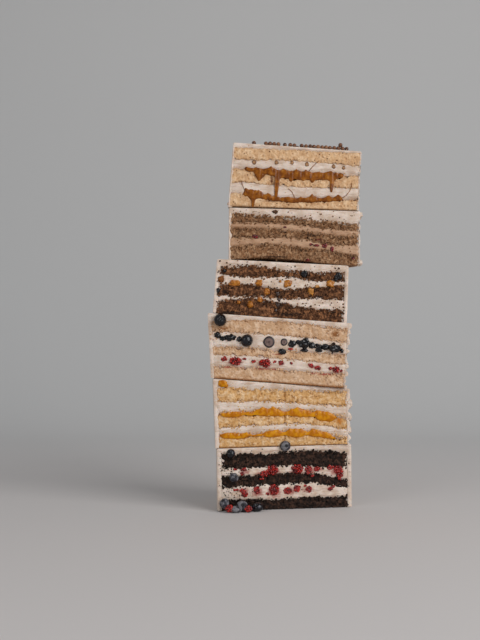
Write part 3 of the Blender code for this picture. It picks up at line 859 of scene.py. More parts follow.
def on_cut(cake, x, z, front=0.0):
    """A point on a cut, from its place in mm across the tower's axis and above the foot."""
    angle = math.radians(cake.turn)
    y = (x * MM * math.sin(angle) - cake.forward * MM - front) / math.cos(angle)
    return Vector((x * MM + AXIS.x, y + AXIS.y, z * MM))


def any_way(chance):
    """A turn by chance."""
    return toward([chance.uniform(-1, 1) for _ in range(3)])


def red_bits(cake, name, bits, drift, knob=1.05, finish=red_flesh):
    """Broken pieces of raspberry pressed into the cut. bits are (x, z, width, height) in mm."""
    chance, places = random.Random(drift), []
    for x, z, width, height in bits:
        count = max(3, round(width * height / (1.2 * knob * knob)))
        for _ in range(count):
            turn, far = chance.uniform(0, 2 * math.pi), math.sqrt(chance.random())
            across = x + far * math.cos(turn) * max(0.0, width / 2 - knob * 0.6)
            up = z + far * math.sin(turn) * max(0.0, height / 2 - knob * 0.6)
            middle = on_cut(cake, across, up, chance.uniform(-0.5, 0.5) * MM)
            big = knob * chance.uniform(0.75, 1.25) * MM
            turned = any_way(chance)
            radii = (big, big, big * chance.uniform(0.9, 1.4))
            places.append((middle, radii, turned, chance.random()))
    return dress(strewn(name, drupelet, places), finish)


red_bits(COCOA, "cocoa_red_bits", (
    (-31.8, 22.9, 6.6, 9.1), (14.0, 23.3, 9.0, 8.0), (27.3, 22.3, 7.4, 7.4), (52.2, 21.6, 6.3, 4.4),
    (27.0, 44.3, 8.4, 10.4), (37.0, 45.0, 8.0, 5.6), (-24.0, 41.0, 9.0, 8.0), (-47.5, 46.5, 9.0, 3.4),
    (-49.0, 42.0, 4.0, 4.0), (52.8, 46.4, 8.4, 5.0), (61.5, 43.5, 11.0, 10.0), (-34.0, 23.8, 6.0, 5.0),
    (-57.0, 46.8, 5.0, 2.6), (-13.5, 46.0, 12.0, 4.0), (3.0, 21.0, 10.0, 8.0), (12.0, 47.0, 12.0, 4.0),
    (-46.0, 19.0, 8.0, 8.0), (62.0, 37.5, 6.0, 5.0),
    (-48.0, 22.5, 8.0, 5.0), (-56.0, 24.0, 6.0, 3.0), (56.0, 24.5, 4.0, 2.4), (23.0, 26.0, 4.0, 2.4),
    (-20.0, 18.0, 4.5, 3.2), (31.0, 37.6, 4.0, 3.0), (63.0, 34.0, 5.0, 4.0), (-27.0, 35.6, 5.0, 2.6),
), drift=21)


# Crumbs of the cocoa sponge that the knife dragged over the creams and the coat.

ALL_OVER = ((-0.95, 0.95, 0, 1),)
crumb = new_knob("crumb", 5, 4)


def crumbs(cake, kind, finish, count, drift, smears=ALL_OVER, size=(0.3, 0.75)):
    """Crumbs stuck to the cut of a cake. smears are (from, to, low, high): where across the
    cut, and between which shares of the cake's height, they lie. Half of them lie beside a
    seam between sponge and cream, and all of them where there are no smears."""
    chance, places = random.Random(drift), []
    rims = [seams(cake, cream)[:, side] for cream in CREAMS for side in (0, 1)]
    rims.append(seams(cake, "sponge_high")[:, 1])
    for number in range(count):
        left, right, low, high = smears[number % len(smears)] if smears else (-0.93, 0.93, 0, 1)
        along = chance.uniform(left, right)
        front = chance.uniform(0.0, 0.45) * MM
        if number % 2 or not smears:
            rim = chance.choice(rims)
            z = at(np.stack([rim, rim], axis=1), along)[0] + chance.gauss(0, 1.3) * MM
            front -= 0.9 * MM
        else:
            share = chance.uniform(low, high)
            x = spot(cake, along, 0, 0).x
            z = level(cake.bed, x) + (level(cake.roof, x) - level(cake.bed, x)) * share
        big = chance.uniform(*size) ** 1.4 * MM
        middle = spot(cake, along, 0, z, 0.6 * MM, front)
        turned = any_way(chance)
        radii = (big, big * chance.uniform(0.6, 1.0), big * chance.uniform(0.6, 1.3))
        places.append((middle, radii, turned, chance.random()))
    piece = strewn(f"{cake.name}_{kind}", crumb, places)
    # Crumbs are darkened by their random tone, through the value that paints shade in the sponge's
    # hollows.
    write(piece, "pit_shade_and_tone", read(piece, "tone") * 0.5)
    return dress(piece, finish)


crumbs(COCOA, "crumbs", cocoa_crumb, 420, 31, (
    (-0.98, 0.98, 0.02, 0.98), (-0.95, -0.4, 0.22, 0.38), (-0.98, -0.75, 0.4, 0.95),
), size=(0.35, 0.95))
crumbs(COCOA, "clods", cocoa_crumb, 420, 32, smears=(), size=(0.8, 1.5))


# The fruit that fell out of the cocoa cake and lies heaped against its foot: bloomed and
# dark blueberries, two of them flattened, and broken raspberries.


def joined(pieces, name):
    """Pieces made one after another, as one piece."""
    nothing_selected()
    for piece in pieces:
        piece.select_set(True)
    bpy.context.view_layer.objects.active = pieces[0]
    bpy.ops.object.join()
    bpy.context.object.name = name
    return bpy.context.object


heap = []
for number, (x, forward, lift, width, height, kind, way) in enumerate((
    (-69.0, 5.9, 4.5, 10.6, 11.0, "frosted", (-0.4, -0.6, 0.7)),
    (-63.4, 10.6, 0, 11.0, 9.6, "red", (0, 0, 1)),
    (-55.6, 12.3, 0, 12.4, 7.8, "frosted", (0.3, -0.5, 0.8)),
    (-49.0, 6.9, 0, 12.8, 12.6, "frosted", (0.1, -0.9, 0.4)),
    (-42.0, 13.0, 0, 9.5, 8.2, "red", (0, 0, 1)),
    (-40.5, 6.2, 0, 8.0, 7.0, "glossy", (0.5, -0.6, 0.6)),
    (-31.5, 8.4, 0, 13.0, 10.2, "glossy", (-0.2, -0.8, 0.6)),
)):
    size = Vector((width, (width + height) / 2, height)) * MM
    middle = on_cut(COCOA, x, lift + height / 2, forward * MM)
    name = f"fallen_{number}"
    if kind == "red":
        chance = random.Random(60 + number)
        piece = strewn(name, drupelet, drupelets(middle, size, 1.25 * MM, chance))
        piece.data.materials.append(red_flesh)
    else:
        piece = new_berry(name)
        fitted(piece, middle - size / 2, middle + size / 2, way, 0.08, 1.5, number)
        piece.data.materials.append(frosted_skin if kind == "frosted" else glossy_skin)
    heap.append(piece)
heap = joined(heap, "fallen_fruit_heap")
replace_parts(heap, "fallen_fruit")
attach(heap, "root")


# The mango cake: a golden vanilla sponge, whipped cream, and a bright mango purée that was
# spooned on the lower two sponges and shows as glossy blobs in the cut.

MANGO = Half("mango", 9, (-80.2, 77.8), (-83.2, 76.4), 0.5, 5.8, (71.5, -0.87), (142.8, 4.5))
mango_crumb = sponge_finish(
    "mango_crumb", paint(232, 198, 156), paint(214, 168, 112), paint(172, 120, 62),
    paint(136, 84, 32), 1.4, 0.12, paint(184, 106, 10), 0.55,
)
sponges(
    MANGO, mango_crumb, 101, low=(0.9, 0.3, 0.3), high=(0.4, 0.4, 0.4),
    stains=(
        (-58, 107, 26, 6), (-20, 108, 26, 4), (16, 107, 24, 4), (48, 104, 26, 10), (-56, 84, 30, 7),
        (-10, 86, 30, 5), (14, 84, 24, 8), (44, 84, 26, 5), (63, 100, 8, 8),
    ),
    clod=6.5, grit=2.0, pore=4.0, depth=1.8, ragged=1.3, knife=0,
)
creams(MANGO, white_cream, 105, drag=0.3, dab=0.3, over=2.4)
iced(MANGO, ragged=3.4)

crumbs(MANGO, "crumbs", mango_crumb, 300, 131, ALL_OVER + (
    (0.8, 0.94, 0.1, 0.95),
), size=(0.4, 1.1))
crumbs(MANGO, "clods", mango_crumb, 260, 132, smears=(), size=(0.8, 1.4))


SAUCE_STEP = 0.55 * MM
SAUCE_STANDS = 1.2
SAUCE_HIDDEN = 3.6


def ran(start, end, drift, cusps, drips=(), blobs=(), thin=0.0):
    """A cut through sauce: a rounded bead that stands out of the cut. start and end are where
    it begins and ends, in mm across the tower, and outside them it stays in. cusps are the
    places where it is drawn up into a point, and how far. drips are (place, width, length,
    squareness), blobs are (from, to, up, down) of thick places, and thin is how much thinner
    it is between them."""

    def cut(x, z, below, above, side):
        place = (x - AXIS.x) / MM
        thick = below + above
        v = below / thick if thick else 0.5
        inside = min(1.0, max(0.0, (place - start) / 4)) * min(1.0, max(0.0, (end - place) / 4))
        up, down, run = 0.0, 0.0, 0.0
        for cusp, height in cusps:
            up = max(up, height * math.exp(0.3 - math.hypot(place - cusp, 0.7) / 2.4))
        for middle, width, length, square in drips:
            near = math.hypot(place - middle, 0.5) / (width / 2)
            if near < 1:
                down = max(down, length * (1 - near ** square))
                run = max(run, (1 - near * near) ** 0.5)
        full = 0.0 if blobs else 1.0
        for left, right, rise, sink in blobs:
            share = min(1.0, max(0.0, min(place - left, right - place) / 6))
            share = share * share * (3 - 2 * share)
            share *= 0.6 + 0.4 * math.sin(math.pi * (place - left) / (right - left))
            full, up, down = max(full, share), up + rise * share, down + sink * share
        shrink = thin * (1 - full) * thick / MM / 2
        wobble = 0.9 * noise.noise(Vector((place / 2.2, drift + 0.4, 0.3)))
        wobble += 1.1 * noise.noise(Vector((place / 7.0, drift + 5.4, 0.3)))
        sag = 1.1 * noise.noise(Vector((place / 1.8, drift + 9.4, 0.3)))
        sag += 1.7 * noise.noise(Vector((place / 5.0, drift + 14.4, 0.3)))
        up = (up + wobble - 0.1 - 1.7 * shrink) * inside
        down = (max(down, 0.3 + max(sag, -0.3)) - 0.3 * shrink) * inside
        shift = (up * v - down * (1 - v) ** 3) * MM
        bead = max(math.sqrt(max(0.0, 1 - (2 * v - 1) ** 2)), 0.9 * run * (1 - v))
        bead *= (SAUCE_STANDS + 0.5 * wobble) * (0.4 + 0.6 * full)
        out = inside * (SAUCE_HIDDEN + bead) - SAUCE_HIDDEN
        if v < 0.02 or v > 0.98:
            out -= 1.0
        return 0.0, out * MM, shift, 0.0

    return cut


def sauce_finish(name, deep, bright, thin, roughness):
    """A thick sauce: deeper where it is thick, brighter at thin places, wet and smooth."""
    made = new_finish(
        name, roughness, Coat_Weight=0.04, Coat_Roughness=0.15, Specular_IOR_Level=0.22,
    )
    patches = cloudy(made, 5 * MM, 4)
    colour = mixed(made, deep, bright, between(made, patches, 0.38, 0.60))
    colour = mixed(made, colour, thin, times(made, between(made, patches, 0.58, 0.75), 0.7))
    coloured(made, colour)
    pressed(made, [cloudy(made, 2.4 * MM, 2)], 0.3 * MM)
    return made


mango_sauce = sauce_finish(
    "mango_sauce", paint(182, 106, 0), paint(206, 134, 0), paint(222, 160, 14), 0.28
)
cut = ran(
    cusps=((-48, 1.4), (-33, 2.4), (-25, 3.6), (-14, 2.6), (8, 1.6), (14, 2.2), (36, 1.6)),
    blobs=((-75, -46, 0.4, 2.6), (-34, -2, 1.4, 1.0), (2, 31, 1.0, 1.4), (33, 60, 2.2, 5.0)),
    thin=0.35, start=-76, end=62, drift=3.0,
)
dress(layer(MANGO, "sauce_high", cut, SAUCE_STEP), mango_sauce)
cut = ran(
    cusps=((-60, 1.0), (-44, 1.2), (-20, 1.0), (-8, 1.8), (5, 1.4), (20, 1.6), (33, 1.2),
           (46, 1.4)),
    blobs=((-74, -40, 0.8, 2.6), (-26, -2, 0.6, 1.4), (0, 24, 0.8, 2.2), (26, 58, 1.2, 1.6)),
    thin=0.35, start=-76, end=60, drift=9.0,
)
dress(layer(MANGO, "sauce_low", cut, SAUCE_STEP), mango_sauce)

# Lumps of cream pushed out on the torn right edge of the mango cake's coat, and a drop of the
# mango purée that hangs over its top band.

BEHIND_CUT = -3.6


def torn_bits(cake, name, bits, finish, proud=0.2, depth=4.2, uneven=0.35, drift=1):
    """Torn bits pressed into the cut, or lumps beside it. bits are (x, z, width, height), and
    proud is how far they stand out of the cut and depth how far they reach, all in mm."""
    made = []
    for number, (x, z, width, height) in enumerate(bits):
        middle = on_cut(cake, x, z, proud * MM)
        size = Vector((width, depth, height)) * MM
        piece = new_berry(f"{name}_{number}", 20, 16)
        way = (math.sin(number * 2.1), 0.8, math.cos(number * 1.3))
        fitted(piece, middle - size / 2, middle + size / 2, way, uneven, 2.2, drift + number)
        made.append(piece)
    return dress(joined(made, name), finish)


torn_bits(MANGO, "mango_icing_lumps", (
    (74.0, 119.5, 9.0, 13.0), (73.8, 104.0, 8.4, 12.0), (73.6, 89.0, 8.0, 9.0),
), white_icing, proud=BEHIND_CUT, depth=8, uneven=0.4, drift=141)
torn_bits(MANGO, "mango_drop", ((-71.2, 143.4, 11.6, 8.4), (-67.6, 141.2, 6.0, 5.0)),
          mango_sauce, proud=0.4, drift=151)


# The vanilla cake: a pale sponge with a thin browned skin, a row of blueberries in the upper
# cream, and raspberries with a line of red jam in the lower one.

VANILLA = Half("vanilla", 3, (-84.8, 71.4), (-88.6, 77.2), 1.5, 5.4, (142.8, 4.5), (217.4, 4.3))
vanilla_crumb = sponge_finish(
    "vanilla_crumb", paint(224, 192, 162), paint(206, 168, 132), paint(174, 130, 92),
    paint(138, 84, 38), 1.5, 0.1, paint(146, 34, 30), 0.45,
)
RED_JAM = (
    (-66, 162.0, 16, 3.0), (-50, 161.0, 16, 2.0), (-24, 160.0, 28, 3.2), (-10, 159.4, 22, 3.2),
    (34, 155.0, 14, 3.2), (46, 153.6, 22, 3.2), (-8, 176.5, 18, 2.0),
)
sponges(
    VANILLA, vanilla_crumb, 201, low=(1.0, 0.25, 0.25), high=(0.2, 0.2, 0.6),
    spots=((58, 199.5, 13, 8), (52, 209.5, 30, 4.5), (-70, 206, 14, 4)), stains=RED_JAM,
    clod=7, grit=2.0, pore=4.0, depth=1.6, ragged=1.2,
)
creams(VANILLA, white_cream, 205, stains=RED_JAM + (
    (-57, 167, 20, 9), (-23, 165, 20, 9), (58, 158, 14, 9), (-4, 166, 9, 5), (33, 162, 14, 4),
), drag=0.35, dab=0.35)
warm_icing = icing_finish(
    "warm_icing", paint(204, 178, 154), paint(192, 162, 136), paint(174, 138, 106)
)
iced(VANILLA, warm_icing, ragged=4.0)

crumbs(VANILLA, "crumbs", vanilla_crumb, 360, 231, ALL_OVER + (
    (0.8, 0.94, 0.1, 0.95), (-0.99, -0.8, 0.6, 0.95),
), size=(0.4, 1.1))
crumbs(VANILLA, "clods", vanilla_crumb, 260, 232, smears=(), size=(0.8, 1.4))

# The row of blueberries in the vanilla cake: one whole, two sliced through by the knife so
# that their grey-mauve flesh shows, the others crushed and wet, and one on top at the corner.


def sliced_finish(name, skin, rim, outer, middle):
    """A fruit cut through: its skin, a rim under the skin, paler flesh and a darker middle."""
    made = new_finish(name, 0.35, Subsurface_Weight=0.15, Subsurface_Radius=(0.003, 0.002, 0.002),
                      Subsurface_Scale=0.3)
    core, patches = stored(made, "core"), cloudy(made, 2.2 * MM, 4)
    colour = mixed(made, skin, rim, between(made, core, 0.08, 0.13))
    colour = mixed(made, colour, outer, between(made, core, 0.16, 0.34))
    colour = mixed(made, colour, middle, between(made, core, 0.62, 0.95))
    blotches = times(made, between(made, patches, 0.50, 0.66), between(made, core, 0.16, 0.34))
    colour = mixed(made, colour, middle, times(made, blotches, 0.6))
    coloured(made, colour)
    pressed(made, [patches], 0.25 * MM)
    return made


sliced_berry = sliced_finish(
    "sliced_berry", paint(24, 20, 25), paint(66, 48, 47), paint(122, 100, 92), paint(64, 44, 44)
)


def sliced_flat(piece, cake, proud):
    """Flattens a round piece along a cake's cut, proud of it, and marks how far each point of
    the cut face lies from its rim."""
    angle = math.radians(cake.turn)
    facing = Vector((math.sin(angle), -math.cos(angle), 0))
    points = [vertex.co.copy() for vertex in piece.data.vertices]
    middle = Vector((min(p[axis] for p in points) + max(p[axis] for p in points)) / 2
                    for axis in range(3))
    place = on_cut(cake, (middle.x - AXIS.x) / MM, middle.z / MM, proud * MM)
    ahead = [(point - place).dot(facing) for point in points]
    aside = [((point - middle).cross(facing)).length for point in points]
    reach = max(side for side, over in zip(aside, ahead) if over > 0)
    for vertex, over in zip(piece.data.vertices, ahead):
        vertex.co -= facing * max(0.0, over) * 0.92
    write(piece, "core", [1 - a / reach if over > 0 else 0.0 for a, over in zip(aside, ahead)])
    return piece


def sliced_fruit(node, finish, cake, proud, drift):
    """A berry that was cut through with the cake, in the place of its node."""
    low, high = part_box(node)
    piece = fitted(new_knob(node + "_sliced", 36, 26), low, high, (0, -1, 0), 0.10, 1.1, drift)
    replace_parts(sliced_flat(piece, cake, proud), node)
    return dress(piece, finish)


berry("blueberry_top", wet_skin, (0.15, -1, 0.2), 0.03, 1.2, 41.0)
berry("blueberry_crushed", wet_skin, (-0.6, 0.4, 0.7), 0.45, 1.7, 42.0)
berry("blueberry_whole", glossy_skin, (0.5, -0.8, -0.5), 0.03, 1.2, 43.0)
sliced_fruit("blueberry_cut_large", sliced_berry, VANILLA, 1.4, 44.0)
sliced_fruit("blueberry_cut_small", sliced_berry, VANILLA, 1.0, 45.0)
berry("blueberry_row_1", wet_skin, (-0.3, 0.7, 0.6), 0.45, 1.8, 46.0)
berry("blueberry_row_2", wet_skin, (0.7, 0.4, 0.4), 0.45, 1.8, 47.0)
berry("blueberry_row_3", wet_skin, (-0.2, 0.5, 0.9), 0.45, 1.9, 48.0)


torn_bits(VANILLA, "vanilla_berry_scraps", (
    (-77.0, 198.5, 8.0, 8.4), (8.0, 188.4, 10.0, 9.2), (-3.0, 179.6, 9.2, 7.0),
    (-71.5, 194.5, 7.0, 6.0), (-66.5, 195.8, 6.4, 6.4), (31.0, 186.4, 9.0, 8.0),
    (46.0, 184.8, 9.0, 8.0), (-52.4, 194.0, 6.6, 7.0), (65.0, 180.6, 4.6, 5.6),
    (14.5, 190.2, 5.0, 6.0), (38.5, 181.0, 9.0, 5.0), (22.0, 181.0, 9.0, 4.0),
), wet_skin, drift=71)

# Its raspberries in the lower cream.

raspberry("raspberry_left", drift=11, knob=1.25)
raspberry("raspberry_mid", drift=12, knob=1.25)
raspberry("raspberry_right", drift=13, knob=1.25)
red_bits(VANILLA, "vanilla_red_bits", (
    (-69.6, 171.2, 7.2, 6.3), (-4.6, 166.8, 7.4, 5.5), (29.5, 163.7, 6.3, 5.7), (37.6, 160.8, 7.2, 5.0),
    (-47.0, 171.5, 5.0, 2.4), (-36.0, 168.6, 4.4, 4.0), (-12.0, 168.0, 4.0, 3.0), (7.0, 166.2, 3.0, 3.0),
    (-3.2, 179.0, 4.0, 2.4), (6.4, 182.6, 5.0, 2.0), (52.0, 160.0, 4.0, 4.0), (64.6, 157.8, 3.6, 3.0),
), drift=22)


# The carrot cake: a coarse brown crumb, moist with syrup, with glossy dice of candied orange
# in its creams and crumb.

CARROT = Half("carrot", 4, (-82.9, 71.6), (-77.9, 73.9), 0.6, 5.6, (217.4, 4.3), (281.5, 2.5))
carrot_crumb = sponge_finish(
    "carrot_crumb", paint(154, 104, 68), paint(92, 57, 34), paint(40, 23, 13),
    paint(26, 15, 9), 1.1, 0.2, paint(26, 14, 8),
)
sponges(CARROT, carrot_crumb, 301, stains=(
    (-6, 236, 14, 20), (-6, 247, 10, 8), (-68, 248, 12, 8), (6, 222, 40, 6), (-60, 224, 30, 4),
), clod=4.5, grit=1.7, pore=3.2, depth=2.6, ragged=1.9)
creams(CARROT, white_cream, 305, drag=0.35, dab=0.4, scratch=0.2)
iced(CARROT)

crumbs(CARROT, "crumbs", carrot_crumb, 700, 331, (
    (-0.98, 0.98, 0.02, 0.98), (0.3, 0.97, 0.15, 0.45),
), size=(0.4, 1.15))
crumbs(CARROT, "clods", carrot_crumb, 420, 332, smears=(), size=(0.8, 1.5))

# Syrup that soaked the carrot cake and stands in wet, nearly black beads in its crumb.

syrup = new_finish("syrup", 0.1, Specular_IOR_Level=0.6)
coloured(syrup, mixed(syrup, paint(22, 12, 8), paint(70, 38, 18), cloudy(syrup, 3 * MM)))
pressed(syrup, [cloudy(syrup, 1.6 * MM, 2)], 0.4 * MM)
torn_bits(CARROT, "carrot_syrup_beads", (
    (-8.4, 245.0, 5.0, 6.6), (-6.8, 239.0, 4.4, 6.0), (-8.0, 232.6, 5.4, 7.0), (-10.4, 226.6, 4.4, 4.4),
), syrup, proud=-0.5, depth=3.6, uneven=0.5, drift=361)

# Candied orange in the carrot cake: moist dice, cut through here and there, in the creams and
# the crumb.

SQUARE = 2.7


def dice(cake, name, bits, finish, drift):
    """Soft-edged cubes pressed into the cut. bits are (x, z, width, height) in mm."""
    made, chance = [], random.Random(drift)
    for number, (x, z, width, height) in enumerate(bits):
        nothing_selected()
        bpy.ops.mesh.primitive_cube_add(size=2)
        piece = bpy.context.object
        edit(piece)
        bpy.ops.mesh.select_all(action="SELECT")
        bpy.ops.mesh.subdivide(number_cuts=5)
        done()
        for vertex in piece.data.vertices:
            there = vertex.co.copy()
            vertex.co = there / sum(abs(side) ** SQUARE for side in there) ** (1 / SQUARE)
        angle = chance.uniform(-0.3, 0.3)
        middle = on_cut(cake, x, z, 0.2 * MM)
        size = Vector((width, 4.4, height)) * MM
        way = (math.sin(angle), 0, math.cos(angle))
        fitted(piece, middle - size / 2, middle + size / 2, way, 0.6, 1.3, drift + 3 * number)
        write(piece, "tone", [chance.random()] * len(piece.data.vertices))
        made.append(piece)
    return dress(joined(made, name), finish)


def candied_finish(name, deep, bright, pale):
    """Candied peel: orange, moist and half clear, each piece a little different."""
    made = new_finish(
        name, 0.3, Subsurface_Weight=0.3, Subsurface_Radius=(0.005, 0.003, 0.001),
        Subsurface_Scale=0.4, Specular_IOR_Level=0.5,
    )
    patches = cloudy(made, 3 * MM, 4)
    colour = mixed(made, deep, bright, between(made, patches, 0.40, 0.60))
    palest = times(made, between(made, stored(made, "tone"), 0.6, 1.0), 0.5)
    colour = mixed(made, colour, pale, palest)
    coloured(made, colour)
    pressed(made, [cloudy(made, 1.2 * MM, 3)], 0.2 * MM)
    return made


candied = candied_finish(
    "candied_orange", paint(150, 86, 14), paint(180, 112, 22), paint(198, 142, 66)
)
dice(CARROT, "carrot_candied_dice", (
    (-57.9, 257.7, 14.2, 7.4), (-29.9, 258.0, 8.6, 7.6), (3.3, 257.1, 9.7, 9.7), (52.2, 257.3, 10.6, 9.4),
    (29.7, 248.3, 7.4, 9.7), (-20.6, 248.2, 6.9, 8.6), (-39.7, 233.3, 7.4, 8.6), (-28.6, 239.0, 6.8, 6.8),
    (-5.4, 259.8, 3.0, 3.6), (37.0, 254.0, 6.0, 4.0), (-53.0, 235.6, 5.0, 4.0),
), candied, drift=81)
torn_bits(CARROT, "carrot_dark_berries", (
    (21.9, 268.4, 9.2, 8.6), (61.0, 266.0, 10.0, 9.6), (-69.0, 271.6, 5.0, 4.6), (-76.4, 249.0, 4.6, 6.4),
    (58.4, 262.0, 5.0, 5.0),
), wet_skin, uneven=0.5, drift=91)
spiced_crumb = sponge_finish(
    "spiced_crumb",
    paint(150, 92, 44), paint(126, 74, 34), paint(70, 40, 20), paint(40, 24, 14), 0.8, 0.2,
)
dice(CARROT, "carrot_dark_dice", ((-73.2, 262.2, 7.6, 8.2),), spiced_crumb, drift=95)


# The nut cake: a grey-brown crumb of ground nuts with tan nut cream, in a thin pale coat.

NUT = Half("nut", 3, (-64.8, 86.8), (-64.2, 87.6), 0.2, 2.6, (281.5, 2.5), (342.9, 1.15))
nut_crumb = sponge_finish(
    "nut_crumb", paint(178, 140, 106), paint(142, 101, 68), paint(92, 58, 34),
    paint(58, 34, 20), 1.1, 0.2, paint(90, 30, 24),
)
sponges(
    NUT, nut_crumb, 401, low=(0.2, 0.2, 0.2), high=(0.2, 0.2, 0.2),
    spots=((31, 312.5, 16, 3), (30, 303.4, 16, 3), (-10, 288, 36, 3)),
    stains=(
        (-34, 311, 10, 6), (52, 299, 12, 8), (26, 284, 10, 4), (0, 322, 10, 3), (38, 308, 16, 3),
    ),
    clod=5, grit=1.8, pore=3.2, depth=2.4, ragged=1.9, spill=0.0,
)
nut_cream = cream_finish(
    "nut_cream",
    paint(190, 152, 120), paint(172, 132, 100), paint(148, 108, 78), paint(110, 40, 36),
)
creams(NUT, nut_cream, 405, slot="nut_cream", drag=0.4, dab=0.4, scratch=0.2)
iced(NUT, ragged=1.6)

crumbs(NUT, "crumbs", nut_crumb, 620, 431, (
    (-0.94, 0.94, 0.02, 0.98), (0.0, 0.94, 0.75, 0.95),
), size=(0.35, 1.05))
crumbs(NUT, "clods", nut_crumb, 420, 432, smears=(), size=(0.8, 1.5))

# Lumps on the right edge of the nut cake: cream at its top, and cream with crumb at its foot.

torn_bits(NUT, "nut_icing_lumps", ((86.8, 336.8, 7.2, 9.6), (85.8, 281.6, 8.2, 8.6)),
          white_icing, proud=BEHIND_CUT, depth=8, uneven=0.5, drift=441)

# Clods of its crumb dragged up over the lower edge of the icing, and one dark nut.

torn_bits(NUT, "nut_large_clods", (
    (-4.5, 333.6, 7.0, 3.4), (3.0, 333.8, 8.0, 2.8), (50.0, 328.0, 9.0, 3.0), (56.0, 326.8, 5.0, 2.4),
    (68.0, 323.8, 7.0, 3.2), (76.0, 323.0, 9.0, 3.0), (-30.0, 334.4, 6.0, 2.4), (22.0, 331.0, 6.0, 2.0),
), nut_crumb, proud=-0.4, depth=3.6, uneven=0.6, drift=451)
dark_nut = sponge_finish("dark_nut", paint(104, 72, 48), paint(74, 48, 30), paint(40, 24, 14),
                         paint(30, 18, 10), 0.8, 0.2)
torn_bits(NUT, "nut_dark_chunk", ((-11.4, 339.4, 8.0, 5.4),), dark_nut,
          proud=0.0, depth=4.0, uneven=0.6, drift=461)

# Bits of dried cherry in the nut cake.

dried_cherry = raspberry_finish(
    "dried_cherry", paint(58, 14, 16), paint(110, 22, 22), paint(160, 36, 32)
)
red_bits(NUT, "nut_cherry_bits", (
    (-33.7, 311.1, 7.0, 4.2), (45.6, 301.2, 5.7, 5.7), (54.2, 297.2, 4.4, 6.7), (36.3, 301.0, 6.9, 3.0),
    (78.6, 286.8, 4.4, 2.8), (25.6, 285.0, 3.4, 1.8), (30.0, 302.4, 5.0, 2.4), (0.0, 322.0, 4.0, 1.6),
), knob=0.9, drift=23, finish=dried_cherry)


# The caramel cake on top: a light sponge flecked with spice, white cream, and two sheets of
# caramel that ran down over the cut in drips.

CARAMEL = Half("caramel", 2, (-65.4, 85.4), (-59.3, 88.8), 1.2, 2.6, (342.9, 1.15), (415.0, 3.55))
caramel_crumb = sponge_finish(
    "caramel_crumb", paint(228, 194, 156), paint(212, 172, 130), paint(174, 126, 84),
    paint(100, 60, 30), 1.5, 0.17, paint(96, 50, 30), 0.45,
)
sponges(
    CARAMEL, caramel_crumb, 501, low=(0.5, 0.2, 0.2), high=(0.2, 0.2, 0.2),
    stains=((-15, 377, 6, 16), (-29, 381, 12, 10), (50, 378, 14, 3), (-10, 352, 40, 2)),
    clod=7, grit=2.0, pore=4.0, depth=1.5, ragged=1.1,
)
creams(CARAMEL, white_cream, 505, drag=0.25, dab=0.3, over=1.0)
iced(CARAMEL, ragged=2.0)

crumbs(CARAMEL, "crumbs", caramel_crumb, 220, 531)
torn_bits(CARAMEL, "caramel_corner_crumb", ((-62.3, 348.2, 7.5, 7.0),), caramel_crumb,
          proud=BEHIND_CUT, depth=8, uneven=0.4, drift=541)

# Crisp caramel balls: six cut through in the upper cream, and a crowded row along the front
# of the top with a few more behind it.

# The balls' darkest brown is painted shade and their palest brown a painted highlight, laid in patches
# and on some balls by chance.
ball_skin = new_finish("ball_skin", 0.3, Specular_IOR_Level=0.5)
shade = cloudy(ball_skin, 2.2 * MM, 4)
shade = between(ball_skin, shade, 0.40, 0.60)
colour = mixed(ball_skin, paint(66, 35, 16), paint(124, 76, 42), shade)
palest = times(ball_skin, between(ball_skin, stored(ball_skin, "tone"), 0.6, 1.0), 0.5)
colour = mixed(ball_skin, colour, paint(170, 118, 76), palest)
coloured(ball_skin, colour)
pressed(ball_skin, [cloudy(ball_skin, 0.8 * MM, 3)], 0.12 * MM)
sliced_ball = sliced_finish(
    "sliced_ball", paint(78, 46, 24), paint(112, 72, 40), paint(150, 106, 66), paint(172, 130, 90)
)

halves = []
for number, (x, z, width, height) in enumerate((
    (-35.3, 396.2, 5.3, 5.3), (-9.6, 396.2, 4.9, 5.3), (8.3, 395.9, 4.4, 4.8),
    (25.4, 394.3, 4.8, 5.7), (56.2, 391.8, 4.8, 5.7), (67.6, 390.5, 4.1, 5.1),
)):
    piece = new_knob(f"half_ball_{number}", 24, 16)
    size = Vector((width, width, height)) * MM
    middle = on_cut(CARAMEL, x, z, -0.6 * MM)
    fitted(piece, middle - size / 2, middle + size / 2, (0, -1, 0), 0.22, 1.6, number)
    piece.data.materials.append(sliced_ball)
    halves.append(sliced_flat(piece, CARAMEL, 0.6))
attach(joined(halves, "caramel_half_balls"), "root")

BALL = 2.5
ROOM = 2 * BALL * 0.95
SUNK = 0.25
SUNK_LEFT = 0.85
STAGGERED = 1.1
SPREAD_BACK = 24
BALLS = 27
chance, places = random.Random(11), []
pearl = new_knob("pearl", 16, 10)
pearls = [(x, BALL + STAGGERED * (number % 2), 0.0) for number, x in enumerate((
    -35.4, -21.6, -16.8, -12.0, -7.2, 0.2, 6.4, 11.2, 19.5, 24.6,
    29.4, 33.8, 38.4, 43.2, 47.6, 52.2, 57.0, 61.9, 66.5, 71.3,
))]
pearls.append((64.2, BALL, ROOM * 0.82))
while len(pearls) < BALLS:
    x, deep = chance.uniform(-30, 70), BALL + SPREAD_BACK * chance.random()
    if all(math.hypot(x - other[0], deep - other[1]) > ROOM for other in pearls):
        pearls.append((x, deep, 0.0))
for x, deep, lift in pearls:
    middle = on_cut(CARAMEL, x, 0, -deep * MM)
    sunk = SUNK if x > -30 else SUNK_LEFT
    middle.z = level(CARAMEL.roof, middle.x) + (BALL - sunk + lift) * MM
    turned = any_way(chance)
    radii = [BALL * MM * chance.uniform(0.93, 1.0) for _ in range(3)]
    places.append((middle, radii, turned, chance.random()))
pearls = dress(strewn("caramel_balls", pearl, places), ball_skin)
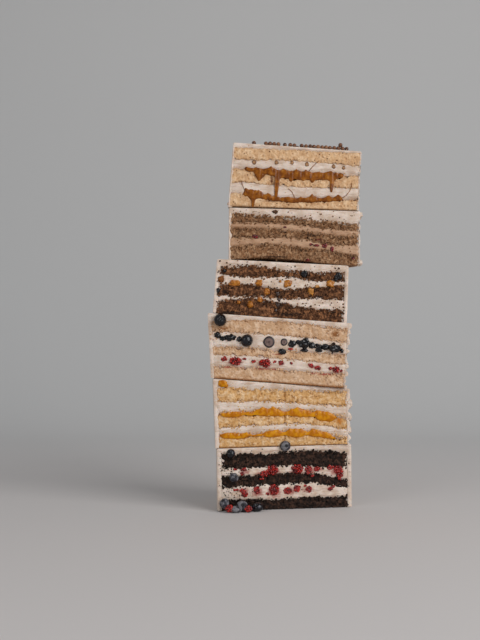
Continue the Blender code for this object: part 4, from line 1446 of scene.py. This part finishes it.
for vertex in pearls.data.vertices:
    vertex.co.z += 0.12 * MM * noise.noise(vertex.co / (1.2 * MM))


# The caramel: boiled soft and poured on two of the sponges, so that it hangs over the cut in
# a sheet with drips, and drew out into threads where the layers were pressed together.

CARAMEL_STEP = 0.5 * MM
THREAD = 0.42


def threads(cake, name, finish, paths):
    """Thin threads of sauce drawn out over the cut. paths are lists of (x, z) in mm."""
    places = []
    for path in paths:
        for (x, z), (next_x, next_z) in zip(path, path[1:]):
            steps = max(1, round(math.hypot(next_x - x, next_z - z) / (1.2 * THREAD)))
            along = Vector((next_x - x, 0, next_z - z))
            turned = toward(along)
            for step in range(steps):
                share = step / steps
                middle = on_cut(cake, x + along.x * share, z + along.z * share, 0.25 * MM)
                wide = THREAD * (1 + 0.3 * noise.noise(middle / (2.3 * MM))) * MM
                places.append((middle, (wide, wide, 1.2 * THREAD * MM), turned, 0.5))
    return dress(strewn(name, crumb, places), finish)


caramel_sauce = sauce_finish(
    "caramel_sauce", paint(112, 58, 8), paint(146, 84, 16), paint(182, 122, 46), 0.26
)
cut = ran(
    cusps=((-46, 2.5), (-33, 1.5), (-16, 2.8), (-2, 3.2), (13, 3.2), (24, 3.0), (38, 1.4),
           (52, 2.2)),
    drips=(
        (-29.1, 15.0, 10.5, 1), (-8.6, 5.4, 26.0, 6), (-8.0, 12.0, 4.0, 1), (54.2, 5.0, 15.5, 5),
        (54.0, 14.0, 4.0, 1), (7.0, 6.6, 3.6, 2), (31.7, 6.4, 3.2, 2),
    ),
    start=-48, end=69, drift=13.0,
)
dress(layer(CARAMEL, "sauce_high", cut, CARAMEL_STEP), caramel_sauce)
cut = ran(
    cusps=((-47, 3.0), (-20, 4.0), (18, 3.0), (31, 5.0), (50, 3.0), (61, 4.0)),
    drips=((-36.1, 4.4, 10.5, 4), (-37.0, 12.0, 4.0, 1)),
    blobs=((-54, -22, 5.4, 1.0), (-46, 84, 0.0, 0.0)),
    start=-50, end=68, drift=19.0,
)
dress(layer(CARAMEL, "sauce_low", cut, CARAMEL_STEP), caramel_sauce)
threads(CARAMEL, "caramel_threads", caramel_sauce, (
    ((-50.0, 374.2), (-48.6, 370.0), (-46.4, 364.6), (-43.0, 361.0)),
    ((65.0, 355.0), (70.5, 358.6), (74.6, 364.0), (76.4, 369.0), (77.0, 373.0)),
    ((4.0, 366.0), (8.0, 362.6), (10.2, 358.0), (11.4, 354.6)),
    ((28.0, 387.0), (31.4, 391.0), (35.4, 395.0), (39.4, 398.6)),
))


# The studio: a pale floor that curves up into a grey backdrop, a large soft light from the
# right, and weak light from everywhere else. The camera stands level with the middle.

nothing_selected()
bpy.ops.mesh.primitive_grid_add(x_subdivisions=4, y_subdivisions=120, size=2)
sweep = bpy.context.object
sweep.name = "studio_sweep"
floor_from, floor, bend, length = -2.6, 3.4, 1.2, 6.6
for vertex in sweep.data.vertices:
    run = (vertex.co.y + 1) / 2 * length
    turn = min(max(0.0, run - floor) / bend, math.pi / 2)
    away = floor_from + min(run, floor) + bend * math.sin(turn)
    above = bend * (1 - math.cos(turn)) + max(0.0, run - floor - bend * math.pi / 2)
    vertex.co = Vector((vertex.co.x * 4, away, above))
bpy.ops.object.shade_smooth()
backdrop = new_finish("studio_paper", 0.9, Specular_IOR_Level=0.1)
fall = backdrop.node_tree.nodes.new("ShaderNodeSeparateXYZ")
put(backdrop, fall.inputs[0], place_read(backdrop))
farther = between(backdrop, fall.outputs["Y"], 0.1, 1.2)
coloured(backdrop, mixed(backdrop, paint(213, 207, 204), paint(218, 216, 214), farther))
sweep.data.materials.append(backdrop)


MIDDLE = Vector((0, 0, 0.2))


def soft_light(name, size, power, place):
    """A large soft light that looks at the tower's middle."""
    data = bpy.data.lights.new(name, "AREA")
    data.shape, data.size, data.size_y = "RECTANGLE", *size
    data.energy = power
    made = bpy.data.objects.new(name, data)
    bpy.context.scene.collection.objects.link(made)
    made.location = place
    made.rotation_euler = (MIDDLE - Vector(place)).to_track_quat("-Z", "Y").to_euler()


soft_light("window", (1.6, 1.8), 37, (1.5, -1.5, 1.1))
soft_light("bounce", (1.4, 1.4), 8, (-1.4, -1.6, 0.8))
world = bpy.data.worlds.new("room")
world.use_nodes = True
world.node_tree.nodes["Background"].inputs["Color"].default_value = (0.9, 0.95, 1, 1)
world.node_tree.nodes["Background"].inputs["Strength"].default_value = 0.30
bpy.context.scene.world = world
bpy.context.scene.view_settings.view_transform = "Standard"

eye = bpy.data.cameras.new("eye")
eye.lens, eye.sensor_width = 56.25, 36
camera = bpy.data.objects.new("eye", eye)
camera.location = (-0.0528, -1.16923, 0.190)
camera.rotation_euler = (math.radians(91.286), 0, 0)
bpy.context.scene.collection.objects.link(camera)
bpy.context.scene.camera = camera

# The small shapes that were only copied go.
for copied in (drupelet, crumb, pearl):
    bpy.data.objects.remove(copied)

nothing_selected()
